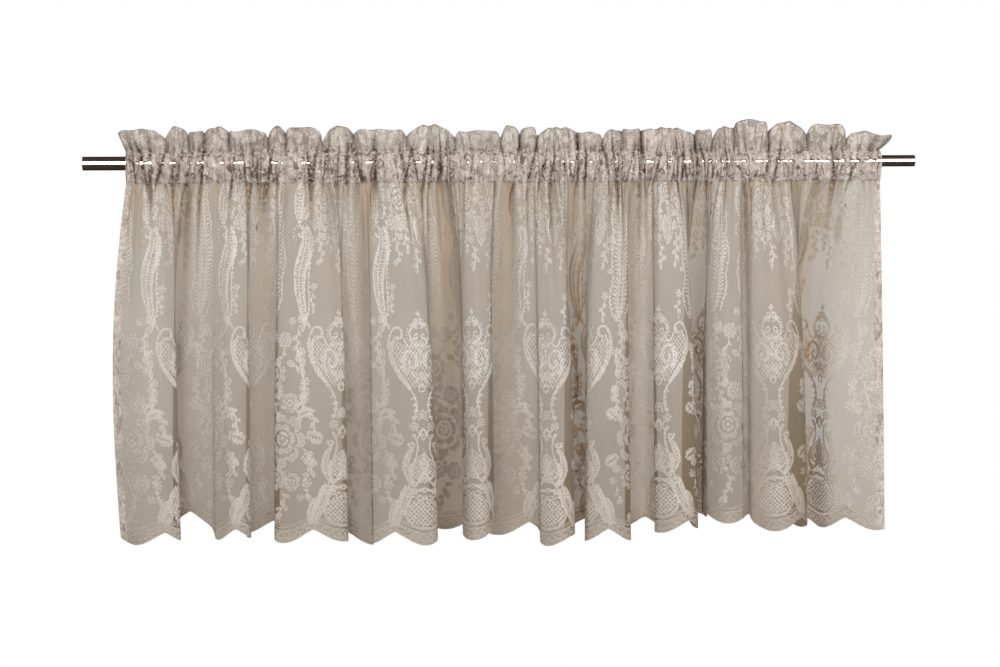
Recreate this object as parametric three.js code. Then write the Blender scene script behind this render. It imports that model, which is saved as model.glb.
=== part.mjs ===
// Gathered lace window valance on a two-part curtain rod.
// Millimetres. X runs along the rod, Z is up, and the face of the cloth looks to -Y.
// The origin is on the rod's axis at mid-length.

import * as THREE from 'three';

// Rod: a narrow tube that slides in the bore of a wider one. The step is hidden in the rod pocket.
const rod = {
  length: 1150,
  outerRadius: 9.5,
  innerRadius: 8,
  outerWall: 1.2,
  innerWall: 0.8,
  mouth: 20, // X where the wide tube ends
  overlap: 150, // length of the narrow tube inside the wide one
  endWall: 2,
  sides: 32,
};

// Cloth: one panel. Its top is folded to the back and sewn twice, which makes the rod pocket
// and the ruffled heading over it.
const cloth = {
  thickness: 1.2,
  clearance: 0.3, // between the pocket and the rod
  pocketLeft: -517, // side edges where the panel is gathered on the rod
  pocketRight: 526,
  stepRelief: 10, // the pocket stays wide this far past the mouth of the wide tube
  stitchTop: 15.5, // Z of the upper row of stitches
  pocketFloor: -23.5, // Z of the lowest point inside the pocket
  seam: -27, // Z of the lower row of stitches, where the hanging part starts
  gather: 2.6, // reach of one fine gather to either side at the stitches
  gatherFade: 60, // the fine gathers die out over about this drop
  gatherMean: 0.8, // the gathers' size varies about this share, in two slow waves along the panel
  foldFade: 150, // the large folds open over about this drop
  sideHem: 12, // width of the turned hem at each side edge
  sideBow: -11, // the left side edge swings out at half height
  sideBowReach: 60,
};

// The slow waves that make the fine gathers uneven: share of the gather, and length in flat mm.
const gatherWaves = [
  { size: 0.2, length: 37 },
  { size: 0.15, length: 14.3 },
];

// Hem: equal scallops along the flat width, each a rounded bottom between two cusps.
const scallop = { pitch: 85, first: 69, rise: 18, roundness: 1.2, columns: 6 };

// Heading: the outer corners flare past the pocket, and the ruffles lean forward and back in turn.
// Higher up, less of the gather and more of the lean is left. A ruffle's top is flat in its middle
// and drops to its notches by the power edgePower.
const heading = {
  flareLeft: -12,
  flareLeftReach: 50,
  flareRight: 40,
  flareRightReach: 24,
  lean: 9,
  edgePower: 4,
  middle: { gather: 0.7, lean: 0.5 },
  top: { gather: 0.5, lean: 1 },
};

// One row for each fold at the hem, from left to right. The crest is the part that stands forward:
//   left, right   X of its two edges          top    X where it leaves the stitches
//   crest         reach at its middle         edgeL, edgeR   reach at its edges
//   hem           Z of its lowest edge
// The valley to its right runs in under the two crests by tuckL and tuckR, lies at floorL and
// floorR, and its edge hangs higher by lift. Reach is counted forward from the rod's axis.
const folds = [
  { left: -528, right: -447, top: -489, crest: 17, edgeL: -7, edgeR: 8, hem: -520,
    tuckL: 9, floorL: -20, floorR: 3, tuckR: -12, lift: 22 },
  { left: -396, right: -351, top: -372, crest: 24, edgeL: 13, edgeR: 14, hem: -517,
    tuckL: 5, floorL: -8, floorR: -8, tuckR: 4, lift: 9 },
  { left: -317, right: -220, top: -269, crest: 22, edgeL: 12, edgeR: 14, hem: -519,
    tuckL: 5, floorL: -18, floorR: 4, tuckR: -3, lift: -3 },
  { left: -183, right: -97, top: -158, crest: 27, edgeL: 14, edgeR: 16, hem: -524,
    tuckL: 7, floorL: -25, floorR: -17, tuckR: 6, lift: 12 },
  { left: -61, right: -18, top: -40, crest: 33, edgeL: 14, edgeR: 14, hem: -518,
    tuckL: 4, floorL: -16, floorR: -2, tuckR: -7, lift: 7 },
  { left: 47, right: 93, top: 61, crest: 28, edgeL: 13, edgeR: 13, hem: -528,
    tuckL: 9, floorL: -33, floorR: -32, tuckR: 7, lift: 12 },
  { left: 108, right: 170, top: 151, crest: 25, edgeL: 14, edgeR: 14, hem: -524,
    tuckL: 4, floorL: -3, floorR: -3, tuckR: 4, lift: 8 },
  { left: 205, right: 265, top: 228, crest: 26, edgeL: 13, edgeR: 8, hem: -513,
    tuckL: 13, floorL: -54, floorR: -53, tuckR: 11, lift: 12 },
  { left: 275, right: 326, top: 314, crest: 14, edgeL: -15, edgeR: 9, hem: -502,
    tuckL: -5, floorL: 1, floorR: 3, tuckR: -6, lift: 1 },
  { left: 343, right: 419, top: 370, crest: 32, edgeL: 17, edgeR: 3, hem: -512,
    tuckL: 19, floorL: -43, floorR: -55, tuckR: -22, lift: 6 },
  { left: 455, right: 530, top: 500, crest: -14, edgeL: -26, edgeR: -4, hem: -516 },
];

// One row for each ruffle of the heading, from left to right: X of its left edge, Z of the top
// edge at its middle, and Z of the notch at its right edge.
const ruffles = [
  { left: -524, peak: 46, notch: 34 },
  { left: -462, peak: 50, notch: 39 },
  { left: -431, peak: 43, notch: 41 },
  { left: -410, peak: 50, notch: 42 },
  { left: -376, peak: 44, notch: 34 },
  { left: -324, peak: 50, notch: 41 },
  { left: -299, peak: 48, notch: 27 },
  { left: -249, peak: 51, notch: 39 },
  { left: -206, peak: 45, notch: 36 },
  { left: -134, peak: 52, notch: 34 },
  { left: -67, peak: 43, notch: 33 },
  { left: -4, peak: 51, notch: 38 },
  { left: 23, peak: 47, notch: 35 },
  { left: 46, peak: 48, notch: 41 },
  { left: 103, peak: 40, notch: 30 },
  { left: 137, peak: 45, notch: 42 },
  { left: 165, peak: 45, notch: 43 },
  { left: 191, peak: 47, notch: 37 },
  { left: 266, peak: 44, notch: 30 },
  { left: 291, peak: 48, notch: 47 },
  { left: 322, peak: 57, notch: 41 },
  { left: 369, peak: 55, notch: 37 },
  { left: 424, peak: 51, notch: 30 },
  { left: 478, peak: 41, notch: 37 },
  { left: 512, peak: 36, notch: 25 },
];

// Rows of the hanging part, as shares of the drop from the stitches to the hem.
const dropRows = [1, 0.74, 0.5, 0.3, 0.16, 0.06, 0];

const looks = {
  lace: { color: 0xb3a899, roughness: 0.9, metalness: 0 },
  bronze: { color: 0x3d3023, roughness: 0.3, metalness: 0.9 },
};

// ---------------------------------------------------------------------------
// The hem line: a smooth curve through the folds, whose length is the panel's flat width.

function foldPoints() {
  const points = [];
  folds.forEach((fold, i) => {
    const middle = (fold.left + fold.right) / 2;
    points.push(new THREE.Vector3(fold.left, -fold.edgeL, fold.hem));
    points.push(new THREE.Vector3(middle, -fold.crest, fold.hem));
    points.push(new THREE.Vector3(fold.right, -fold.edgeR, fold.hem));
    const next = folds[i + 1];
    if (!next) return;
    const valleyHem = (fold.hem + next.hem) / 2 + fold.lift;
    points.push(new THREE.Vector3(fold.right - fold.tuckL, -fold.floorL, valleyHem));
    points.push(new THREE.Vector3(next.left + fold.tuckR, -fold.floorR, valleyHem));
  });
  return points;
}

const pointsPerFold = 5;
const hemPoints = foldPoints();
const hemCurve = new THREE.CatmullRomCurve3(hemPoints, false, 'catmullrom', 0.5);
const stepsPerPoint = 40;
hemCurve.arcLengthDivisions = (hemPoints.length - 1) * stepsPerPoint;
const hemLengths = hemCurve.getLengths();
const flatWidth = hemCurve.getLength();

// Flat position and gathered X, in pairs: the two side edges and the middle of each crest.
function gatherAnchors() {
  const anchors = [[0, cloth.pocketLeft]];
  folds.forEach((fold, i) => {
    anchors.push([hemLengths[(i * pointsPerFold + 1) * stepsPerPoint], fold.top]);
  });
  anchors.push([flatWidth, cloth.pocketRight]);
  return anchors;
}

const anchors = gatherAnchors();

// X of a flat position where the panel is gathered on the rod.
function gatheredX(s) {
  const i = Math.max(1, anchors.findIndex(([at]) => at > s || at === flatWidth));
  const [fromS, fromX] = anchors[i - 1];
  const [toS, toX] = anchors[i];
  return THREE.MathUtils.mapLinear(s, fromS, toS, fromX, toX);
}

// The height by which the scalloped edge rises over the scallops' lowest points.
function scallopRise(s) {
  const share = THREE.MathUtils.euclideanModulo((s - scallop.first) / scallop.pitch, 1);
  return scallop.rise * (1 - Math.sin(Math.PI * share) ** scallop.roundness);
}

// ---------------------------------------------------------------------------
// Columns: the flat positions at which the panel's cross-section is worked out.

function columnPositions() {
  const step = scallop.pitch / scallop.columns;
  const clear = step / 3; // no column this close to the turned hem's own
  const edge = cloth.sideHem;
  const positions = [0, edge];
  const offset = scallop.first - Math.ceil(scallop.first / step) * step;
  for (let s = offset; s < flatWidth; s += step) {
    if (s > edge + clear && s < flatWidth - edge - clear) positions.push(s);
  }
  positions.push(flatWidth - edge, flatWidth);
  return positions;
}

const columns = columnPositions().map((s, i) => ({
  s,
  x: gatheredX(s),
  hem: hemCurve.getPointAt(s / flatWidth),
  side: i % 2 === 0 ? 1 : -1,
}));

// How far a fine gather reaches forward (+) or back (-). Its size varies along the rod.
function gatherReach(column) {
  const uneven = gatherWaves.reduce(
    (sum, wave) => sum + wave.size * Math.sin(column.s / wave.length),
    cloth.gatherMean,
  );
  return cloth.gather * uneven * column.side;
}

// A point of the large folds at a share of the drop, before the fine gathers.
function foldPoint(column, share) {
  const fullDrop = cloth.seam - column.hem.z;
  const drop = share * (fullDrop - scallopRise(column.s));
  const opened = (1 - Math.exp(-drop / cloth.foldFade)) / (1 - Math.exp(-fullDrop / cloth.foldFade));
  const swing = Math.sin((Math.PI * drop) / fullDrop) * Math.exp(-column.s / cloth.sideBowReach);
  const x = THREE.MathUtils.lerp(column.x, column.hem.x, opened) + cloth.sideBow * swing;
  return new THREE.Vector3(x, column.hem.y * opened, cloth.seam - drop);
}

// The two faces of the hanging part at one row: the fold moved along its level normal by the fine
// gather, and by half the thickness each way. The side hems and the stitched row are double.
function hangingFaces(index, share) {
  const last = columns.length - 1;
  const before = foldPoint(columns[Math.max(0, index - 1)], share);
  const after = foldPoint(columns[Math.min(last, index + 1)], share);
  const normal = new THREE.Vector3(after.y - before.y, before.x - after.x, 0).normalize();
  const doubled = share === 0 || index === 0 || index === last;
  const half = cloth.thickness / (doubled ? 1 : 2);
  const point = foldPoint(columns[index], share);
  const gathered = gatherReach(columns[index]) * Math.exp((point.z - cloth.seam) / cloth.gatherFade);
  return {
    front: point.clone().addScaledVector(normal, gathered + half),
    back: point.clone().addScaledVector(normal, gathered - half),
  };
}

// ---------------------------------------------------------------------------
// The pocket and the heading over it.

// The pocket is an octagon round the rod, open at its lower corners. The gathers swell its sides,
// and its shoulders by a share of that.
const pocket = { corner: Math.tan(Math.PI / 8), shoulder: 0.4 };

function rodRadiusAt(x) {
  return x < rod.mouth + cloth.stepRelief ? rod.outerRadius : rod.innerRadius;
}

// Height and lean of the heading's top edge at a column.
function ruffleAt(x) {
  let i = ruffles.findIndex((ruffle, k) => k + 1 === ruffles.length || ruffles[k + 1].left > x);
  i = Math.max(0, i);
  const left = ruffles[i].left;
  const right = i + 1 < ruffles.length ? ruffles[i + 1].left : cloth.pocketRight;
  const share = THREE.MathUtils.clamp((x - left) / (right - left), 0, 1);
  const notch = share < 0.5 && i > 0 ? ruffles[i - 1].notch : ruffles[i].notch;
  const plateau = 1 - Math.abs(2 * share - 1) ** heading.edgePower;
  return {
    top: notch + (ruffles[i].peak - notch) * plateau,
    lean: heading.lean * Math.sin(Math.PI * share) * (i % 2 === 0 ? 1 : -1),
  };
}

// Forward reach and Z of the points above the lower stitches, on the side given by face:
// 1 is the front and -1 the back. They run from the pocket's wall up to the heading's top.
function upperFace(column, face) {
  const snug = rodRadiusAt(column.x) + cloth.clearance;
  const corner = pocket.corner * snug;
  const reach = gatherReach(column);
  const swell = cloth.gather + face * reach;
  const wall = cloth.thickness;
  const ruffle = ruffleAt(column.x);
  const middle = (cloth.stitchTop + ruffle.top) / 2;
  const headingReach = (share) => share.gather * reach + share.lean * ruffle.lean;
  return [
    [face * (snug + wall + swell), -corner - wall],
    [face * (snug + wall + swell), corner + wall],
    [face * (corner + 2 * wall + pocket.shoulder * swell), snug + wall],
    [reach + face * wall, cloth.stitchTop],
    [headingReach(heading.middle) + face * wall, middle],
    [headingReach(heading.top) + face * wall, ruffle.top],
  ];
}

// The inside of the pocket: five sides of an octagon on the rod, closing down to the stitches.
function pocketLoop(column) {
  const snug = rodRadiusAt(column.x) + cloth.clearance;
  const corner = pocket.corner * snug;
  const reach = gatherReach(column);
  const front = cloth.gather + reach;
  const back = cloth.gather - reach;
  return [
    [reach, cloth.pocketFloor],
    [snug + front, -corner],
    [snug + front, corner],
    [corner + pocket.shoulder * front, snug],
    [-corner - pocket.shoulder * back, snug],
    [-snug - back, corner],
    [-snug - back, -corner],
  ];
}

function headingFlare(column, z) {
  const height = Math.max(0, z - cloth.stitchTop) / (ruffles[0].peak - cloth.stitchTop);
  const left = heading.flareLeft * Math.exp(-column.s / heading.flareLeftReach);
  const right = heading.flareRight * Math.exp((column.s - flatWidth) / heading.flareRightReach);
  return height * (left + right);
}

function placed(column, [reach, z]) {
  return new THREE.Vector3(column.x + headingFlare(column, z), -reach, z);
}

// ---------------------------------------------------------------------------
// The panel as one closed solid: the outer loop and the pocket loop of each column are joined to
// those of the next, and the two side edges are closed row by row, and around the pocket.

function outerLoop(index) {
  const column = columns[index];
  const rows = dropRows.map((share) => hangingFaces(index, share));
  return [
    ...rows.map((row) => row.front),
    ...upperFace(column, 1).map((point) => placed(column, point)),
    ...upperFace(column, -1).map((point) => placed(column, point)).reverse(),
    ...rows.map((row) => row.back).reverse(),
  ];
}

function panelGeometry() {
  const outer = columns.map((_, i) => outerLoop(i));
  const inner = columns.map((column) => pocketLoop(column).map((point) => placed(column, point)));
  const outerCount = outer[0].length;
  const innerCount = inner[0].length;
  const perColumn = outerCount + innerCount;
  const positions = columns.flatMap((_, i) => [...outer[i], ...inner[i]]).flatMap((p) => p.toArray());
  const faces = [];

  // The front and back faces are cut along the same diagonals, so that a twisted fold keeps its
  // thickness.
  const joinLoops = (first, count, flip) => {
    for (let i = 0; i + 1 < columns.length; i++) {
      for (let k = 0; k < count; k++) {
        const a = i * perColumn + first + k;
        const b = i * perColumn + first + ((k + 1) % count);
        const c = b + perColumn;
        const d = a + perColumn;
        const halves = k < count / 2 ? [a, b, c, a, c, d] : [a, b, d, b, c, d];
        faces.push(...(flip ? halves.reverse() : halves));
      }
    }
  };
  joinLoops(0, outerCount, true);
  joinLoops(outerCount, innerCount, false);

  const seamRow = dropRows.length - 1;
  const topRow = outerCount / 2 - 1;
  const stitchRow = topRow - 2;
  const facing = (k) => outerCount - 1 - k; // the same row on the panel's other face
  const closeSide = (index, flip) => {
    const addFace = (a, b, c) => {
      const corners = flip ? [a, c, b] : [a, b, c];
      faces.push(...corners.map((k) => index * perColumn + k));
    };
    for (let k = 0; k < topRow; k++) {
      if (k >= seamRow && k < stitchRow) continue;
      addFace(k, facing(k), facing(k + 1));
      addFace(k, facing(k + 1), k + 1);
    }
    const ring = [];
    for (let k = seamRow; k <= stitchRow; k++) ring.push(k);
    for (let k = facing(stitchRow); k <= facing(seamRow); k++) ring.push(k);
    const hole = inner[index].map((_, k) => outerCount + k);
    const flat = (k) => {
      const point = k < outerCount ? outer[index][k] : inner[index][k - outerCount];
      return new THREE.Vector2(point.y, point.z);
    };
    const around = [...ring, ...hole];
    for (const [a, b, c] of THREE.ShapeUtils.triangulateShape(ring.map(flat), [hole.map(flat)])) {
      addFace(around[a], around[b], around[c]);
    }
  };
  closeSide(0, true);
  closeSide(columns.length - 1, false);

  const geometry = new THREE.BufferGeometry();
  geometry.setAttribute('position', new THREE.Float32BufferAttribute(positions, 3));
  geometry.setIndex(faces);
  return geometry;
}

// ---------------------------------------------------------------------------
// Rod tubes: turned about the rod's axis, with a plain closed end and an open bore.

function tubeGeometry(radius, wall, closedEnd, openEnd) {
  const inward = Math.sign(openEnd - closedEnd);
  const bottom = closedEnd + inward * rod.endWall;
  const profile = [
    [0, closedEnd],
    [radius, closedEnd],
    [radius, openEnd],
    [radius - wall, openEnd],
    [radius - wall, bottom],
    [0, bottom],
  ].map(([r, along]) => new THREE.Vector2(r, along));
  if (inward < 0) profile.reverse();
  const geometry = new THREE.LatheGeometry(profile, rod.sides);
  geometry.rotateZ(-Math.PI / 2);
  return geometry;
}

function piece(name, geometry, look) {
  const mesh = new THREE.Mesh(geometry, new THREE.MeshStandardMaterial(look));
  mesh.name = name;
  return mesh;
}

const valance = new THREE.Group();
valance.add(piece('lace_cloth', panelGeometry(), looks.lace));
valance.add(piece(
  'rod_outer_tube',
  tubeGeometry(rod.outerRadius, rod.outerWall, -rod.length / 2, rod.mouth),
  looks.bronze,
));
valance.add(piece(
  'rod_inner_tube',
  tubeGeometry(rod.innerRadius, rod.innerWall, rod.length / 2, rod.mouth - rod.overlap),
  looks.bronze,
));

export default valance;
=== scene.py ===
# A gathered lace window valance on its two-part rod: the looks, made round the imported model.
# Flat positions on the panel are in millimetres: s runs along the hem from its left end, and v runs
# up from the scallops' lowest points, over the seam, round the rod's front and up to the heading's
# fold, then down its back. Meshes are in metres.
import math

import bpy
import numpy as np
from mathutils import Matrix, Vector


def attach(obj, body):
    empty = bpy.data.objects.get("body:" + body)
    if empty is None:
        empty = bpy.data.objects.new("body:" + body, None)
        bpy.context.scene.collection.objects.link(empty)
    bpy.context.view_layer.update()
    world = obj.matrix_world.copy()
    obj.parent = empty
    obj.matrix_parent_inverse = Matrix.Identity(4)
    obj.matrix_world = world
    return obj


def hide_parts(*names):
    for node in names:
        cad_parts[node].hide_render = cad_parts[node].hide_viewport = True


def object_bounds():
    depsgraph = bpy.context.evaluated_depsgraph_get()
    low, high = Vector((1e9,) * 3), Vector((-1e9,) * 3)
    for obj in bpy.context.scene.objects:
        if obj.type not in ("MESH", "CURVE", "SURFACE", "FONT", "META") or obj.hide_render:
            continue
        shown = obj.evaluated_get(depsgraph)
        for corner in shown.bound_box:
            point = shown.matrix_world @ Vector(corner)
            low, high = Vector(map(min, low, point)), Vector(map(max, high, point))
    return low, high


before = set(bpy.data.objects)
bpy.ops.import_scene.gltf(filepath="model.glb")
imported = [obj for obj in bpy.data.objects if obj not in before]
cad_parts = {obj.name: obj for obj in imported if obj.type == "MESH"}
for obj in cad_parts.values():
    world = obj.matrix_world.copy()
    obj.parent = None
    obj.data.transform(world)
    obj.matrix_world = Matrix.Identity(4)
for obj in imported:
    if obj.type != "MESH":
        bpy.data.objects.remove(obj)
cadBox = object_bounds()
rng = np.random.default_rng(7)
metre = 0.001
print("frame loaded", cadBox)


rod = dict(mouth=20, stepRelief=10, wideRadius=9.5, narrowRadius=8, clearance=0.6)

cloth = dict(
    pocketLeft=-517, pocketRight=526,  # side edges where the panel is gathered on the rod
    stitchTop=15.5,  # height of the upper row of stitches
    seam=-27,  # height of the lower row of stitches
    foldFade=150,  # the large folds open over about this drop
    rippleStart=12, rippleFade=260,  # drops over which ripples begin and quick ones die out
    sideHem=12, sideBow=-11, sideBowReach=60,
    hangingPuckers=0.7, headingPuckers=0.8,  # shares of the puckers' full depth
    halfGap=0.35,  # half the space between two layers that lie together
    hangLength=497,  # flat height from the scallops' lowest points to the seam
    pocketLength=47.7,  # flat height of the pocket's front
    headingLength=34,
)

# The pocket's wall: how much of a pucker is gone at the stitches, the size of its small dents, how
# soon it swells past the stitches, and the least space between it and the rod.
pocket = dict(flatPuckers=0.55, tumble=0.9, swell=5.2, offRod=0.3)

scallop = dict(pitch=85, first=69, rise=18, roundness=1.2)

# The heading's corners flare, its ruffles lean forward and back in turn and roll at their edges,
# and each swells in smaller lobes and dips between its neighbours.
heading = dict(flareLeft=-12, flareLeftReach=50, flareRight=40, flareRightReach=24,
               lean=9, leanBack=0.45, edgePower=3, roll=0.12, rollBack=0.3,
               lobe=1.9, lobeLength=5.6, lobeAtFoot=0.3, dip=4, dipWidth=3, gap=1.3)

# One row for each fold at the hem: its left and right edge, where it leaves the stitches (top), its
# reach in the middle and at both edges, its lowest height (hem), and the valley to its right.
foldColumns = "left right top crest edgeL edgeR hem tuckL floorL floorR tuckR lift".split()
foldRows = np.array([
    (-528, -447, -489, 17, -7, 8, -520, 9, -20, 3, -12, 22),
    (-396, -351, -372, 24, 13, 14, -517, 5, -8, -8, 4, 9),
    (-317, -220, -269, 22, 12, 14, -519, 5, -18, 4, -3, -3),
    (-183, -97, -158, 27, 14, 16, -524, 7, -25, -17, 6, 12),
    (-61, -18, -40, 33, 14, 14, -518, 4, -16, -2, -7, 7),
    (47, 93, 61, 28, 13, 13, -528, 9, -33, -32, 7, 12),
    (108, 170, 151, 25, 14, 14, -524, 4, -3, -3, 4, 8),
    (205, 265, 228, 26, 13, 8, -513, 13, -54, -53, 11, 12),
    (275, 326, 314, 14, -15, 9, -502, -5, 1, 3, -6, 1),
    (343, 419, 370, 32, 17, 3, -512, 19, -43, -55, -22, 6),
    (455, 530, 500, -14, -26, -4, -516, 0, 0, 0, 0, 0),
], dtype=float)
fold = {name: foldRows[:, i] for i, name in enumerate(foldColumns)}
# How much painted shade deepens the tone in the valley to the left of each fold, and right of the last.
valleyShadeShare = np.array([1, 0.7, 1, 1, 0.9, 1, 0.5, 0.8, 0.15, 0.8, 0.5, 1])
# How much sheerer the cloth looks in the same valleys, where light comes through from behind.
valleySheer = np.array([0, 0.1, 0, 0.1, 0.1, 0, 0.2, 0.15, 0.15, 0.15, 0.4, 0])
# How brown and clear the motifs look there, with the light behind them: least at the seam, and
# more with the drop.
valleyGlow = np.array([0, 0.1, 0, 0.1, 0.1, 0, 0.85, 0.3, 1, 0.3, 1, 0])
glowing = dict(atSeam=0.3, drop=260)

# One row for each ruffle of the heading: its left edge, its peak and the notch at its right edge.
ruffleRows = np.array([
    (-524, 46, 34), (-462, 50, 39), (-431, 43, 41), (-410, 50, 42), (-376, 44, 34), (-324, 50, 41),
    (-299, 48, 27), (-249, 51, 39), (-206, 45, 36), (-134, 52, 34), (-67, 43, 33), (-4, 51, 38),
    (23, 47, 35), (46, 48, 41), (103, 40, 30), (137, 45, 42), (165, 45, 43), (191, 47, 37),
    (266, 44, 30), (291, 48, 47), (322, 57, 41), (369, 55, 37), (424, 51, 30), (478, 41, 37),
    (512, 36, 25),
], dtype=float)

# Troughs that run down from the stitches, one row each: place along the rod, depth, half width in
# flat millimetres, and the drop over which it dies out.
troughRows = np.array([
    (-500, 3, 10, 120), (-464, 7, 9, 190), (-435, 9, 13, 260), (-398, 4, 8, 90), (-345, 5, 9, 120),
    (-330, 8, 14, 240), (-300, 4, 8, 70), (-242, 7, 9, 210), (-200, 10, 16, 300), (-175, 4, 8, 80),
    (-120, 4, 9, 100), (-84, 10, 15, 300), (-58, 5, 8, 90), (10, 9, 18, 280), (38, 4, 8, 90),
    (65, 7, 9, 160), (97, 9, 12, 260), (125, 4, 8, 90), (182, 9, 14, 260), (207, 7, 9, 180),
    (255, 9, 14, 280), (285, 5, 9, 120), (335, 8, 12, 200), (382, 8, 12, 260), (406, 9, 14, 240),
    (443, 8, 13, 220), (474, 4, 9, 120), (505, 3, 8, 90),
], dtype=float)

# The fine gathers at the stitches. The pitch is their mean one on the flat panel.
gathers = dict(
    reach=2.7, pitch=21.0, fade=62,  # they die out over this drop
    swing=0.9,  # how far their walls lean sideways
    sharpness=1.7,  # how much narrower the valleys are than the crests
    size=0.72, quickPitch=2.37, quickShare=0.3,  # a weaker wave, this many times as quick
    puff=1.6,  # how far the pocket swells between its two rows of stitches
    upHeading=0.7,  # the share that is gone at the top of the heading
)

# Waves that make things uneven. Each row is a size, a flat length along the panel and one up it,
# and a start.
still = math.inf  # no change up the panel
waves = dict(
    gatherDrift=[(1.3, 61, still, 0), (0.8, 23.7, still, 1)],
    gatherSize=[(0.2, 37, still, 0), (0.12, 14.3, still, 0)],
    ripple=[(1.0, 12.3, 170, 0), (0.8, 17.9, -120, 2)],
    quickRipple=[(0.45, 6.3, 240, 1)],
    headingTop=[(0.9, 5.3, still, 0), (0.7, 8.7, still, 1)],
    lobeDrift=[(1.4, 27, still, 0)],
    lobeDriftUp=[(2.6, 33, still, 0)],  # grows with the height
    pocketDents=[(1, 4.1, 5.3, 0)],  # these two are multiplied
    crossedDents=[(1, 6.7, -4.4, 1)],
    weaveAcross=[(1, 1.7, 3.1, 0), (1, -4.7, 1.3, 0)],
    weaveUp=[(1, 1.5, -3.7, 1), (1, 2.9, 2.1, 2)],
)

# Where the panel hangs as one layer and looks sheerer: flat stretches at its two ends.
sheer = dict(right=150, left=110, leftShare=0.35, fade=60)

# How deep the painted shade in the yarn's tone is, from 0 on the crests to 1.
depth = dict(
    valley=0.8, valleyReach=50, valleyDrop=160,  # full this far behind the crests, below this drop
    side=0.6, sideFrom=0.55, sideRoom=0.45,  # where the cloth faces this far sideways or more
    troughDepth=24, troughMost=0.5, troughFade=170,
    puckerBelow=1.7, puckerAbove=2.6,  # a pucker this deep is full, under and over the seam
    gather=0.7, gatherFrom=0.25, gatherFade=22,
    notch=0.75, notchWidth=2.6,  # between the heading's ruffles
)


def smoothCurve(points, steps):
    # A curve through the points: each stretch is the cubic whose slope at a point is half the step
    # from the point before to the point after. The ends go on straight.
    points = np.asarray(points, dtype=float)
    p = np.vstack([2 * points[0] - points[1], points, 2 * points[-1] - points[-2]])
    p0, p1, p2, p3 = (p[i:len(p) - 3 + i, None] for i in range(4))
    t = (np.arange(steps) / steps)[None, :, None]
    q = 0.5 * (2 * p1 + (p2 - p0) * t + (2 * p0 - 5 * p1 + 4 * p2 - p3) * t ** 2
               + (3 * p1 - p0 - 3 * p2 + p3) * t ** 3)
    return np.vstack([q.reshape(-1, points.shape[1]), points[-1:]])


def running(line):
    # The length along a line at each of its points.
    return np.concatenate([[0], np.cumsum(np.linalg.norm(np.diff(line, axis=0), axis=1))])


def hemTable():
    # The hem line through the folds, as (x, reach, height), with its running length and the length
    # at the middle of each fold.
    rows, steps = [], 40
    for i in range(len(foldRows)):
        f = {name: fold[name][i] for name in foldColumns}
        rows += [(f["left"], f["edgeL"], f["hem"]),
                 ((f["left"] + f["right"]) / 2, f["crest"], f["hem"]),
                 (f["right"], f["edgeR"], f["hem"])]
        if i + 1 < len(foldRows):
            valley = (f["hem"] + fold["hem"][i + 1]) / 2 + f["lift"]
            rows += [(f["right"] - f["tuckL"], f["floorL"], valley),
                     (fold["left"][i + 1] + f["tuckR"], f["floorR"], valley)]
    line = smoothCurve(rows, steps)
    length = running(line)
    middles = length[np.arange(len(foldRows)) * 5 * steps + steps]
    return line, length, middles


hemLine, hemLength, crestMiddles = hemTable()
flatWidth = hemLength[-1]
anchorS = np.concatenate([[0], crestMiddles, [flatWidth]])
anchorX = np.concatenate([[cloth["pocketLeft"]], fold["top"], [cloth["pocketRight"]]])
troughS = np.interp(troughRows[:, 0], anchorX, anchorS)
flatHeight = cloth["hangLength"] + 2 * cloth["pocketLength"] + 2 * cloth["headingLength"]
print("flat panel", round(flatWidth), "by", round(flatHeight))


def unevenness(name, s, v=0.0):
    # The sum of the named waves: size times the sine of s over one length plus v over the other.
    return sum(size * np.sin(s / along + v / up + start) for size, along, up, start in waves[name])


def gatherWave(s):
    # Fine gathers: a sine along the panel whose pitch and size drift, with a weaker quicker one.
    # The crests are then made broad and the valleys between them narrow.
    phase = 2 * np.pi * s / gathers["pitch"] + unevenness("gatherDrift", s)
    quick = gathers["quickShare"] * np.sin(gathers["quickPitch"] * phase + 0.8)
    wave = np.clip((np.sin(phase) + quick) / (1 + gathers["quickShare"] / 2), -1, 1)
    size = gathers["size"] + unevenness("gatherSize", s)
    return size * (1 - 2 * ((1 - wave) / 2) ** gathers["sharpness"])


def gatherLean(s):
    # How far the gathers' walls lean sideways: the same wave a quarter of a pitch on.
    return gathers["swing"] * gatherWave(s + gathers["pitch"] / 4)


# Puckers: sharp creases that leave the stitches, about one for each pitch along the panel. They
# die out over the fall below the seam and over the rise in the heading.
crease = dict(pitch=14.5, jitter=0.45, depth=(0.5, 2.4), halfWidth=(1.3, 3.2), slant=0.5,
              pivot=24, lowest=-20, highest=60, fall=(6, 75), rise=15)
creaseCount = int(flatWidth / crease["pitch"]) + 2
creasePlace = np.arange(creaseCount) + rng.uniform(-1, 1, creaseCount) * crease["jitter"]
creasePlace = creasePlace * crease["pitch"]
creaseSize = rng.uniform(*crease["depth"], creaseCount) ** 2
creaseHalf = rng.uniform(*crease["halfWidth"], creaseCount)
creaseSlant = rng.uniform(-1, 1, creaseCount) * crease["slant"]
creaseFall = rng.uniform(*crease["fall"], creaseCount)


def frontLevel(v):
    # The height on the front layer that meets v: v itself, or its mirror past the heading's fold.
    top = flatHeight - cloth["pocketLength"] - cloth["headingLength"]
    return np.where(v > top, 2 * top - v, v)


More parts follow.
